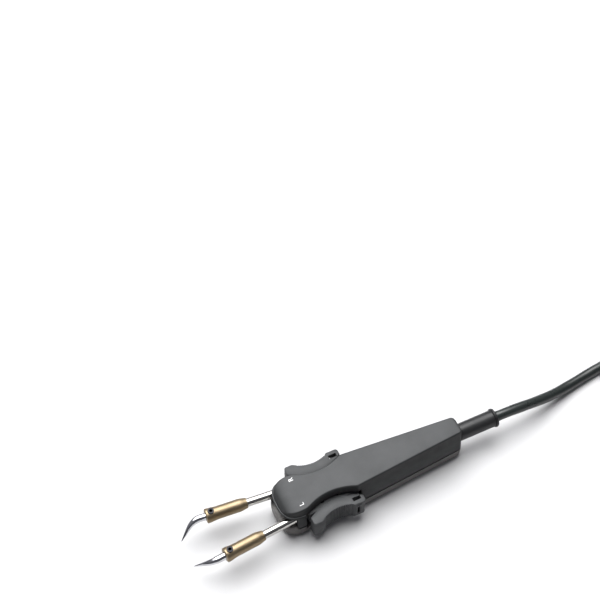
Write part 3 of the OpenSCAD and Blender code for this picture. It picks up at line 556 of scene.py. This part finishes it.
# Every fourth line of the wide part lies lower, between two knurls
KNURLS, LINES_EACH, KNURL_DEPTH, KNURLED_OVER = 36, 4, 0.28, 7.6
plug_profile = [
    (BORE_R, 0), (6.9, 0), (7.2, 0.3), (7.2, 12.6), (7.25, 13), (8, 13.8),
    (8, 19.2), (7.5, 19.8), (6.6, 19.8), (6.6, 19.2), (BORE_R, 19.2),
]
knurled = []
for k in range(KNURLS * LINES_EACH):
    a = 2 * math.pi * k / (KNURLS * LINES_EACH)
    ring = []
    for r, t in plug_profile:
        if r > KNURLED_OVER and k % LINES_EACH == 0:
            r -= KNURL_DEPTH
        ring.append(Vector((t, r * math.cos(a), r * math.sin(a))) + plug_body_at)
    knurled.append(ring)
plug = loft("plug_shell", knurled, closed=True)
finished(plug, "housing", "plug_plastic", ["plug_body"])

skirt_profile = [(5.2, 0), (5.95, 0), (5.95, 7.7), (5.75, 7.95), (5.35, 7.95), (5.2, 7.8)]
skirt = lathe("plug_ring", skirt_profile, plug_front_at, REARWARD, 64)
finished(skirt, "housing", "plug_metal", ["plug_skirt"])
insert_profile = [(0.3, -1), (5.1, -1), (5.1, 0.6), (4.9, 0.8), (0.3, 0.8)]
insert = lathe("plug_insert", insert_profile, plug_front_at, REARWARD, 48)
finished(insert, "housing", "plug_plastic")


# SHELL SHAPES
def soft_min(a, b, k):
    h = max(k - abs(a - b), 0) / k
    return min(a, b) - h * h * k / 4


def steps_to(start, end, count):
    """Even steps from a start, which isn't given again, to an end"""
    return [start + (end - start) * i / count for i in range(1, count + 1)]


def line_half(x):
    if x < rear_corner_x:
        share = max(0, x - front_corner_x) / (rear_corner_x - front_corner_x)
        return lobe_half + (shoulder_half - lobe_half) * share
    return shoulder_half + (tail_half - shoulder_half) * (x - rear_corner_x) / (tail_x - rear_corner_x)


def scallop_side(x):
    if abs(x - scallop_x) >= scallop_r:
        return body_l
    return waist_half + scallop_r - math.sqrt(scallop_r**2 - (x - scallop_x) ** 2)


def nose_share(x, front):
    if x >= lobe_x:
        return 1
    return max(0, 1 - ((lobe_x - x) / (lobe_x - front)) ** nose_power) ** (1 / nose_power)


def tail_cut(x):
    if x <= tail_x - tail_r:
        return 0
    return tail_r - math.sqrt(max(0, tail_r**2 - (x - tail_x + tail_r) ** 2))


def side_half(x):
    """Half the top's width before the nose is rounded"""
    return soft_min(line_half(x), scallop_side(x), 1.6 if x < scallop_x else 0.8) - tail_cut(x)


def top_half(x):
    return side_half(x) * nose_share(x, nose_x)


def top_z(x):
    fall = nose_drop * (1 - math.sqrt(max(0, 1 - ((slope_x - x) / slope_l) ** 2))) if x < slope_x else 0
    return body_h - tail_cut(x) / 2 - fall


def lower_half(x):
    return side_half(x) * nose_share(x, chin_x) + draft


def bottom_lift(x):
    if x < lobe_x:
        return parting_z / 2 * (1 - math.sqrt(max(0, 1 - ((lobe_x - x) / (lobe_x - chin_x)) ** 2)))
    return tail_cut(x) / 3


def nose_stations(front, steps=26):
    return [lobe_x - (lobe_x - front) * cos_d(90 * i / steps) for i in range(1, steps + 1)]


body_stations = steps_to(lobe_x, front_corner_x - 1.5, 2)
body_stations += steps_to(front_corner_x - 1.5, rear_corner_x + 1.5, 56)
body_stations += steps_to(rear_corner_x + 1.5, tail_x - tail_r, 14)
body_stations += [tail_x - tail_r + tail_r * sin_d(a) for a in steps_to(0, 90, 8)]
RIM = 0.9
LOWER_EDGE_R, LOWER_EDGE_IN = 2.8, 0.6


def upper_ring(x):
    w, z = top_half(x), top_z(x)
    r = min(edge_r, w / 2)
    side = [(w + draft - RIM, parting_z + GAP_TOP), (w + draft, parting_z + GAP_TOP)]
    side += [(w - r + r * cos_d(a), z - r + r * sin_d(a)) for a in range(0, 91, 15)]
    return [(x, -y, h) for y, h in side] + [(x, y, h) for y, h in reversed(side)]


def lower_ring(x):
    w, low = lower_half(x), bottom_lift(x)
    r = min(LOWER_EDGE_R, w / 2)
    if x < mouth_x:
        side = [(w - RIM, chin_z), (w - 0.35, chin_z - 0.12), (w - 0.05, chin_z - 0.5)]
    else:
        side = [(w - back_by, parting_z - GAP_LOW) for back_by in (RIM, 0.5, 0)]
    side += [(w, parting_z - 1.6)]
    side += [(w - LOWER_EDGE_IN - r + r * cos_d(a), low + r - r * sin_d(a)) for a in range(0, 91, 10)]
    return [(x, -y, h) for y, h in reversed(side)] + [(x, y, h) for y, h in side]


def plan_prism(name, points, z0, z1):
    return loft(name, [[(x, y, z) for x, y in points] for z in (z0, z1)])


# WHAT IS CUT OUT OF THE SHELLS
def cavity(z0, z1):
    inner = [x for x in body_stations if cavity_front_x + 0.5 < x < tail_x - tail_r - 1]
    xs = [cavity_front_x] + inner + [tail_x - wall]
    side = [(x, min(line_half(x), scallop_side(x)) - wall) for x in xs]
    return plan_prism("cut", side + [(x, -y) for x, y in reversed(side)], z0, z1)


def niche():
    side = grip_front_half + 1
    return block("cut", (niche_front_x, -side, niche_bottom), (niche_rear_x, side, niche_top))


def slot_cut(side):
    """A rounded slot through the front that one tube swings in"""
    r = tube_d / 2 + 0.35
    out = pivot_half + (pivot_x - mouth_x) * math.tan(math.radians(arm_open))
    ring = [(out + r * cos_d(a), arm_z + r * sin_d(a)) for a in range(-90, 91, 15)]
    ring += [(pivot_half + r * cos_d(a), arm_z + r * sin_d(a)) for a in range(90, 271, 15)]
    return loft("cut", [[(x, side * y, z) for y, z in ring] for x in (mouth_x - 1, niche_front_x + 1)])


def sleeve_seat():
    return rod("cut", (flange_x, 0, sleeve_z), REARWARD, 20, sleeve_d / 2 + seat, 64)


# The floor that posts stand on, a little inside the lower shell's plate
POST_LOW = 1.5


def shell_bosses(top):
    """The posts inside a shell: for the pivots and the screws, and below also for the board and the cable"""
    made = []
    low, high = (hub_top + gap, roof_z + gap) if top else (POST_LOW, hub_bottom - gap)
    for side in (-1, 1):
        made.append(rod("boss", (pivot_x, side * pivot_half, low), UP, high - low, boss_d / 2))
    low, high = (parting_z, roof_z + 0.3) if top else (POST_LOW, parting_z)
    for x in screw_places[1:]:
        made.append(rod("boss", (x, 0, low), UP, high - low, boss_d / 2 + (0 if top else gap)))
    if not top:
        for share in (0.25, 0.75):
            made.append(rod("boss", (board_x + board_l * share, 0, POST_LOW), UP, board_z - POST_LOW, 1.5))
        made.append(block("saddle", (tail_x - 18.5, -4.7, POST_LOW), (tail_x - 13.5, 4.7, sleeve_z - 0.2)))
    return made


# SHELLS
upper = loft("upper_cover", [upper_ring(x) for x in nose_stations(nose_x) + body_stations])
sleeve_half = sleeve_d / 2 + seat
combine(
    upper,
    [
        cavity(parting_z - 1, roof_z),
        block("cut", (nose_x - 2, -30, parting_z - 1), (mouth_x, 30, mouth_top)),
        slot_cut(1),
        slot_cut(-1),
        niche(),
        sleeve_seat(),
        block("cut", (flange_x, -sleeve_half, parting_z - 1), (tail_x + 1, sleeve_half, sleeve_z)),
    ],
)
bevel(upper, 0.16, 50)
join(upper, shell_bosses(True))
finished(upper, "housing", "upper_shell", ["upper_shell"])

# The lip runs as a bead round the nose, from one hollow to the other
LIP_HALF_W = 0.9
lip_xs = [front_corner_x - 2.4, lobe_x + 0.6] + nose_stations(nose_x)[::-1] + [nose_x]
lip_line = [(x, (lobe_half + draft / 3) * nose_share(x, nose_x)) for x in lip_xs]
lip_line = lip_line + [(x, -y) for x, y in reversed(lip_line[:-1])]
lip_rings = []
for i, (x, y) in enumerate(lip_line):
    a, b = Vector(lip_line[max(0, i - 1)]), Vector(lip_line[min(len(lip_line) - 1, i + 1)])
    t = (b - a).normalized()
    out = Vector((-t.y, t.x))
    if out.dot(Vector((x + 40, y))) < 0:
        out = -out
    ring = []
    for angle in range(0, 360, 30):
        w, h = LIP_HALF_W * cos_d(angle), lip_h / 2 * sin_d(angle)
        ring.append((x + out.x * w, y + out.y * w, lip_z + lip_h / 2 + h))
    lip_rings.append(ring)
lip = loft("nose_lip", lip_rings)
finished(lip, "housing", "upper_shell", angle=60)

SCREW_HOLE_R, SCREW_HEAD_R, SCREW_HEAD_DEPTH = 1.35, 2.35, 2.6
lower_xs = sorted(nose_stations(chin_x)[:-1] + [mouth_x - 0.4, mouth_x + 0.02, lobe_x] + body_stations)
lower = loft("lower_cover", [lower_ring(x) for x in lower_xs])
cuts = [cavity(plate_t, 30), niche()]
for x in screw_places:
    cuts.append(rod("cut", (x, 0, -1), UP, 30, SCREW_HOLE_R))
    cuts.append(rod("cut", (x, 0, -1), UP, SCREW_HEAD_DEPTH + 1, SCREW_HEAD_R, 48))
combine(lower, cuts)
tongue = block(
    "tongue", (tail_x - wall, -sleeve_d / 2, parting_z - 1), (tail_x - 0.03, sleeve_d / 2, sleeve_z - 2)
)
combine(tongue, [sleeve_seat()])
bevel(lower, 0.16, 50)
join(lower, shell_bosses(False) + [tongue])
finished(lower, "housing", "lower_shell", ["lower_shell"])

# Parting gap: a near-black sheet in the rebate that the shells meet in, painted shade that shows as a dark line
rebate_low, rebate_high = parting_z - GAP_LOW + 0.01, parting_z + GAP_TOP - 0.01
rebate_rings = []
for x in [x for x in lower_xs if x > mouth_x + 0.2][:-1] + [tail_x - 0.12]:
    h = lower_half(min(x, tail_x - 0.3)) - 0.07
    rebate_rings.append(
        [(x, y, z) for y, z in ((-h, rebate_low), (h, rebate_low), (h, rebate_high), (-h, rebate_high))]
    )
rebate = loft("parting_gap_painted_shade", rebate_rings)
combine(
    rebate,
    [
        cavity(parting_z - 2, parting_z + 2),
        niche(),
        block("cut", (flange_x, -sleeve_d / 2, parting_z - 2), (tail_x + 1, sleeve_d / 2, parting_z + 2)),
    ],
)
finished(rebate, "housing", "lower_shell", material=REBATE_DARK)

# SLEEVE
r = sleeve_d / 2
bore = cable_d / 2 + seat
sleeve = lathe(
    "cable_sleeve",
    [
        (bore, flange_x), (r + 0.8, flange_x), (r + 0.8, flange_x + 2), (r, flange_x + 2),
        (r, tail_x - 0.2), (r - 0.25, tail_x + 0.1), (r - 0.25, tail_x + 0.5), (r, tail_x + 0.8),
        (r, sleeve_end_x - 2.1), (r - 0.2, sleeve_end_x - 1.9), (r + 0.1, sleeve_end_x - 1.8),
        (r + 0.5, sleeve_end_x - 1.7), (r + 0.7, sleeve_end_x - 1.4), (r + 0.7, sleeve_end_x - 0.5),
        (r + 0.5, sleeve_end_x - 0.15), (r + 0.2, sleeve_end_x), (bore + 0.7, sleeve_end_x),
        (bore + 0.35, sleeve_end_x - 0.3), (bore, sleeve_end_x - 0.5),
    ],
    (0, 0, sleeve_z), REARWARD, 72,
)
finished(sleeve, "housing", "sleeve_rubber", ["sleeve"])


# ARMS: shapes on the right side, mirrored for the left one
def arm_place(side):
    turn = Matrix.Translation((pivot_x, pivot_half, 0)) @ Matrix.Rotation(math.radians(-arm_open), 4, "Z")
    return turn if side > 0 else Matrix.Diagonal((1, -1, 1, 1)) @ turn


def mirrored(obj, side):
    if side < 0:
        obj.data.transform(Matrix.Diagonal((1, -1, 1, 1)))
        outward(obj)
    return obj


def placed(obj, side):
    obj.data.transform(arm_place(side))
    return outward(obj)

GRIP_INNER_R = 32


def grip_inner(x):
    return grip_in_half + GRIP_INNER_R - math.sqrt(GRIP_INNER_R**2 - (x - grip_mid_x) ** 2)


def grip_outer(x):
    return min(grip_front_half, grip_out_half + finger_r - math.sqrt(finger_r**2 - (x - grip_mid_x) ** 2))


def arc(x, y, r, start, end, steps):
    angles = [start + (end - start) * i / steps for i in range(steps + 1)]
    return [(x + r * cos_d(a), y + r * sin_d(a)) for a in angles]


# The ribs fill the finger hollow, up to these distances from the grip's ends
RIBS_FRONT_IN, RIBS_REAR_IN, POINTS_PER_RIB = 8.4, 9.2, 8
rib_front_x = grip_front_x + RIBS_FRONT_IN
rib_rear_x = grip_rear_x - RIBS_REAR_IN
rib_pitch = (rib_rear_x - rib_front_x) / rib_count


def grip_outline():
    """Points (x, y) of the smooth outline with the depth that the ribs take off each"""
    points = [(x, grip_inner(x), 0) for x in [grip_front_x] + steps_to(grip_front_x, grip_rear_x, 28)]
    points += [(x, y, 0) for x, y in arc(grip_rear_x - 1.8, grip_rear_half - 1.8, 1.8, 0, 90, 7)]
    points += [(x, y, 0) for x, y in arc(grip_rear_x - 7, grip_rear_half - 1.2, 1.2, 90, 150, 5)]
    for i in range(rib_count * POINTS_PER_RIB + 1):
        x = rib_rear_x - rib_pitch * i / POINTS_PER_RIB
        points.append((x, grip_outer(x), rib_d * 0.5 * (1 + math.cos(2 * math.pi * i / POINTS_PER_RIB))))
    points += [(x, grip_outer(x), 0) for x in steps_to(rib_front_x, grip_front_x + 2.4, 8)]
    points += [(x, y, 0) for x, y in arc(grip_front_x + 1.2, grip_front_half - 1.2, 1.2, 90, 180, 6)]
    return points


# How far the grip draws in at heights from its lower and upper face
GRIP_EDGE = [(0, 0.4), (0.12, 0.14), (0.4, 0)]


def grip_rings():
    points = grip_outline()
    n = len(points)
    normals = []
    for i in range(n):
        a, b = points[(i - 2) % n], points[(i + 2) % n]
        t = Vector((b[0] - a[0], b[1] - a[1])).normalized()
        normals.append(Vector((t.y, -t.x)))
    levels = [(grip_bottom + h, inset) for h, inset in GRIP_EDGE]
    levels += [(grip_top - h, inset) for h, inset in GRIP_EDGE[::-1]]
    return [
        [(x - m.x * (depth + inset), y - m.y * (depth + inset), z) for (x, y, depth), m in zip(points, normals)]
        for z, inset in levels
    ]


# The slot through the rear end of a grip, and the framed slot in its outer face
PORT_L, PORT_W = 5, 2.2
SIDE_PORT_L, SIDE_PORT_H, FRAME_L, FRAME_H, FRAME_OUT = 1.8, 7, 4.2, 9.5, 0.5
side_port_x = port_x - 0.4
port_half = (grip_inner(port_x) + grip_rear_half) / 2 - 0.4
mid_z = (grip_top + grip_bottom) / 2


def grip_shape(name):
    shape = loft(name, grip_rings())
    plate = block(
        "frame",
        (side_port_x - FRAME_L / 2, grip_rear_half - 1, mid_z - FRAME_H / 2),
        (side_port_x + FRAME_L / 2, grip_rear_half + FRAME_OUT, mid_z + FRAME_H / 2),
    )
    bevel(plate, 0.2)
    combine(shape, [plate], "UNION")
    through = block(
        "cut",
        (port_x - PORT_L / 2, port_half - PORT_W / 2, grip_bottom - 1),
        (port_x + PORT_L / 2, port_half + PORT_W / 2, grip_top + 1),
    )
    framed = block(
        "cut",
        (side_port_x - SIDE_PORT_L / 2, port_half, mid_z - SIDE_PORT_H / 2),
        (side_port_x + SIDE_PORT_L / 2, grip_rear_half + 2, mid_z + SIDE_PORT_H / 2),
    )
    combine(shape, [through, framed])
    return bevel(shape, 0.12, 60)


def arm_shape():
    """The bar that holds the tube, with its hub, in the arm's own frame: the pivot at 0, forwards to -x"""
    arm = block("arm", (-arm_l, -arm_w / 2, hub_bottom), (0, arm_w / 2, hub_top))
    bevel(arm, 0.5, segments=3)
    hub = rod("hub", (0, 0, hub_bottom), UP, hub_top - hub_bottom, arm_w / 2 + 0.4, 64)
    combine(arm, [hub], "UNION")
    pin_hole = rod("cut", (0, 0, hub_bottom - 1), UP, 12, pin_d / 2 + 0.05, 40)
    lead_way = block("cut", (-10, -1.7, arm_z - 1.8), (-4.2, 1.7, arm_z + 8))
    clamp_screw_hole = rod("cut", (-20, 0, arm_z), UP, 8, 1.32, 32)
    spring_leg_hole = rod("cut", (-6, -1, hub_bottom - 1), UP, 2.8, wire_d / 2 + 0.75, 24)
    tube_hole = rod("cut", (-9, 0, arm_z), FORWARD, arm_l, tube_d / 2 + seat, 48)
    return combine(arm, [pin_hole, lead_way, clamp_screw_hole, spring_leg_hole, tube_hole])


# The web joins a grip to its arm, and stays clear of the spring's leg
web_half = pivot_half + 1.6
web_front_x, web_rear_x = grip_front_x + 4, grip_rear_x - 1.4
web_xs = [web_front_x] + steps_to(web_front_x, web_rear_x, 14)
web_points = [(web_front_x, web_half)] + [(x, grip_inner(x) + 0.6) for x in web_xs] + [(web_rear_x, web_half)]

# Profiles of the heater tube and the barrel, as (radius, distance from the pivot)
outer = tube_d / 2
TUBE_PROFILE = [
    (outer - tube_wall, tube_rear), (outer - 0.1, tube_rear), (outer, tube_rear + 0.1),
    (outer, tube_front - 0.1), (outer - 0.1, tube_front), (outer - tube_wall, tube_front),
]
shank_r = 2.25
rear = reach_l - barrel_l
bore = tube_d / 2 + seat
outer = barrel_d / 2
BARREL_PROFILE = [
    (bore, rear + 0.1), (bore + 0.12, rear), (bore + 0.35, rear), (bore + 0.46, rear + 0.12),
    (bore + 0.52, rear + 0.6), (bore + 0.7, rear + 1.5), (outer - 0.3, rear + taper_l - 0.6),
    (outer - 0.1, rear + taper_l + 0.3), (outer, rear + taper_l + 1.4), (outer, reach_l - 7.5),
    (outer + 0.04, reach_l - 6.4), (outer + 0.14, reach_l - 5.2), (outer + 0.32, reach_l - 3.8),
    (outer + 0.48, reach_l - 2.4), (outer + 0.55, reach_l - 1.2), (outer + 0.48, reach_l - 0.4),
    (outer + 0.1, reach_l - 0.08), (outer - 0.1, reach_l), (shank_r + 0.3, reach_l),
    (shank_r + 0.05, reach_l - 0.3), (shank_r + 0.05, reach_l - 12), (bore, reach_l - 12),
]

# Tip: a straight shank, one smooth bend down and inwards, and a long taper to the point
tip_end = Vector((-reach_l - tip_l, -tip_in, arm_z - tip_drop))
tip_knee = Vector((-reach_l - 0.62 * tip_l, -0.3 * tip_in, arm_z - 0.28 * tip_drop))
tip_points = [
    (-reach_l + 11.6, 0, arm_z), (-reach_l + 4, 0, arm_z), (-reach_l - 1.5, 0, arm_z),
    (-reach_l - 0.27 * tip_l, 0, arm_z - 0.05), (-reach_l - 0.46 * tip_l, -0.1 * tip_in, arm_z - 0.1 * tip_drop),
    tip_knee, tip_knee.lerp(tip_end, 0.5) + Vector((0, 0, 0.05)), tip_end,
]
tip_path = smooth_path(tip_points, 0.45)
tip_length = sum((q - p).length for p, q in zip(tip_path, tip_path[1:]))
TIP_TAPER_L, POINT_R = 16, 0.25


def tip_radius(share, angle):
    left = (1 - share) * tip_length
    if left > TIP_TAPER_L:
        return shank_r
    r = POINT_R + (shank_r - POINT_R) * (left / TIP_TAPER_L) ** 0.85
    return r * (1 if left > 0.35 else 0.75)


for side, name in ((1, "right"), (-1, "left")):
    body = name + "_arm"
    shape = mirrored(grip_shape(name + "_grip_cover"), side)
    arm = placed(arm_shape(), side)
    web = mirrored(plan_prism("web", web_points, hub_bottom + 0.8, hub_top - 0.8), side)
    join(shape, [arm, web])
    finished(shape, body, "grip", [name + "_grip"])

    sheath = placed(lathe(name + "_heater_tube", TUBE_PROFILE, (0, 0, arm_z), FORWARD, 96), side)
    finished(sheath, body, "tube_steel", [name + "_tube"])

    barrel = lathe(name + "_barrel_sleeve", BARREL_PROFILE, (0, 0, arm_z), FORWARD, 80)
    screw_hole = rod("cut", (3.4 - reach_l, 0, arm_z), UP, 8, 1.93, 48)
    slit = block("cut", (-reach_l - 1, -0.5, arm_z - 8), (-reach_l + 7.2, 0.5, arm_z))
    combine(barrel, [screw_hole, slit])
    bevel(barrel, 0.08, 60)
    placed(barrel, side)
    finished(barrel, body, "barrel_metal", [name + "_barrel"])

    tip = placed(tube(name + "_tip_needle", tip_path, tip_radius, 28), side)
    finished(tip, body, "tip_chrome", [name + "_tip"], angle=50)

# CAD NODES THAT STAY, with their materials
slot_of = {part["node"]: part["material_slot"] for part in frame["record"]["subparts"]}
for node, obj in frame["nodes"].items():
    obj.data.materials.clear()
    obj.data.materials.append(MATERIALS[slot_of[node]])

# LETTERS that tell the arms apart, printed on the nose
ink, ink_tree, ink_shader = base_material("print ink", (0.82, 0.82, 0.82), 0.55)
worn = noise(ink_tree, coordinates(ink_tree), 3000, 3)
ink_colour = ramp(ink_tree, worn, [(0.2, (0.70, 0.70, 0.70)), (0.6, (0.84, 0.84, 0.84))])
ink_tree.links.new(ink_colour, ink_shader.inputs["Base Color"])
for text, (x, y) in (("R", (-47.2, 8.9)), ("L", (-48.4, -8.5))):
    curve = bpy.data.curves.new("letter_" + text, "FONT")
    curve.body = text
    curve.size = 4.0
    curve.align_x = "CENTER"
    curve.align_y = "CENTER"
    curve.extrude = 0.02
    letter = bpy.data.objects.new("letter_" + text, curve)
    bpy.context.scene.collection.objects.link(letter)
    bpy.context.view_layer.update()
    mesh = bpy.data.meshes.new_from_object(letter.evaluated_get(bpy.context.evaluated_depsgraph_get()))
    bpy.data.objects.remove(letter)
    slope = (top_z(x + 1) - top_z(x - 1)) / 2
    on_top = Matrix.Translation((x, y, top_z(x) + 0.02)) @ Matrix.Rotation(-math.atan(slope), 4, "Y")
    mesh.transform(on_top @ Matrix.Rotation(math.radians(90), 4, "Z"))
    mark = bpy.data.objects.new("letter_" + text, mesh)
    bpy.context.scene.collection.objects.link(mark)
    finished(mark, "housing", "upper_shell", material=ink)

# FLOOR AND LIGHT
FLOOR_HALF, FLOOR_Z = 4, -0.0001
corners = [(-1, -1), (1, -1), (1, 1), (-1, 1)]
floor = mesh_object("floor", [(x * FLOOR_HALF, y * FLOOR_HALF, FLOOR_Z) for x, y in corners], [(0, 1, 2, 3)])
floor_material, floor_tree, floor_shader = base_material("floor", (0.55, 0.55, 0.556), 0.8)
floor_tone = noise(floor_tree, coordinates(floor_tree), 6, 2)
floor_colour = ramp(floor_tree, floor_tone, [(0.3, (0.545, 0.545, 0.551)), (0.7, (0.555, 0.555, 0.561))])
floor_tree.links.new(floor_colour, floor_shader.inputs["Base Color"])
floor.data.materials.append(floor_material)

# The sky is dark but for a wide soft patch round this direction
BRIGHT_PATCH = Vector((0.05, 0.44, 1)).normalized()
world = bpy.data.worlds.new("studio")
bpy.context.scene.world = world
world.use_nodes = True
sky = world.node_tree
where = sky.nodes.new("ShaderNodeTexCoord")
overhead = sky.nodes.new("ShaderNodeVectorMath")
overhead.operation = "DOT_PRODUCT"
overhead.inputs[1].default_value = BRIGHT_PATCH
sky.links.new(where.outputs["Generated"], overhead.inputs[0])
sky_stops = [(0.0, (0.01, 0.01, 0.011)), (0.4, (0.02, 0.02, 0.022)), (0.83, (0.035, 0.035, 0.037)), (0.91, (1, 1, 1))]
sky.links.new(ramp(sky, overhead.outputs["Value"], sky_stops), sky.nodes["Background"].inputs["Color"])
sky.nodes["Background"].inputs["Strength"].default_value = 8.3

KEY_FROM, KEY_DISTANCE = Vector((-0.34, 0.94, 1.5)).normalized(), 1.1
key = bpy.data.lights.new("key", "AREA")
key.shape = "DISK"
key.size = 0.7
key.energy = 1.0
key_light = bpy.data.objects.new("key", key)
bpy.context.scene.collection.objects.link(key_light)
key_light.location = Vector((0, 0, 0.01)) + KEY_FROM * KEY_DISTANCE
key_light.rotation_mode = "QUATERNION"
key_light.rotation_quaternion = (-KEY_FROM).to_track_quat("-Z", "Y")

bpy.context.scene.view_settings.view_transform = "Standard"
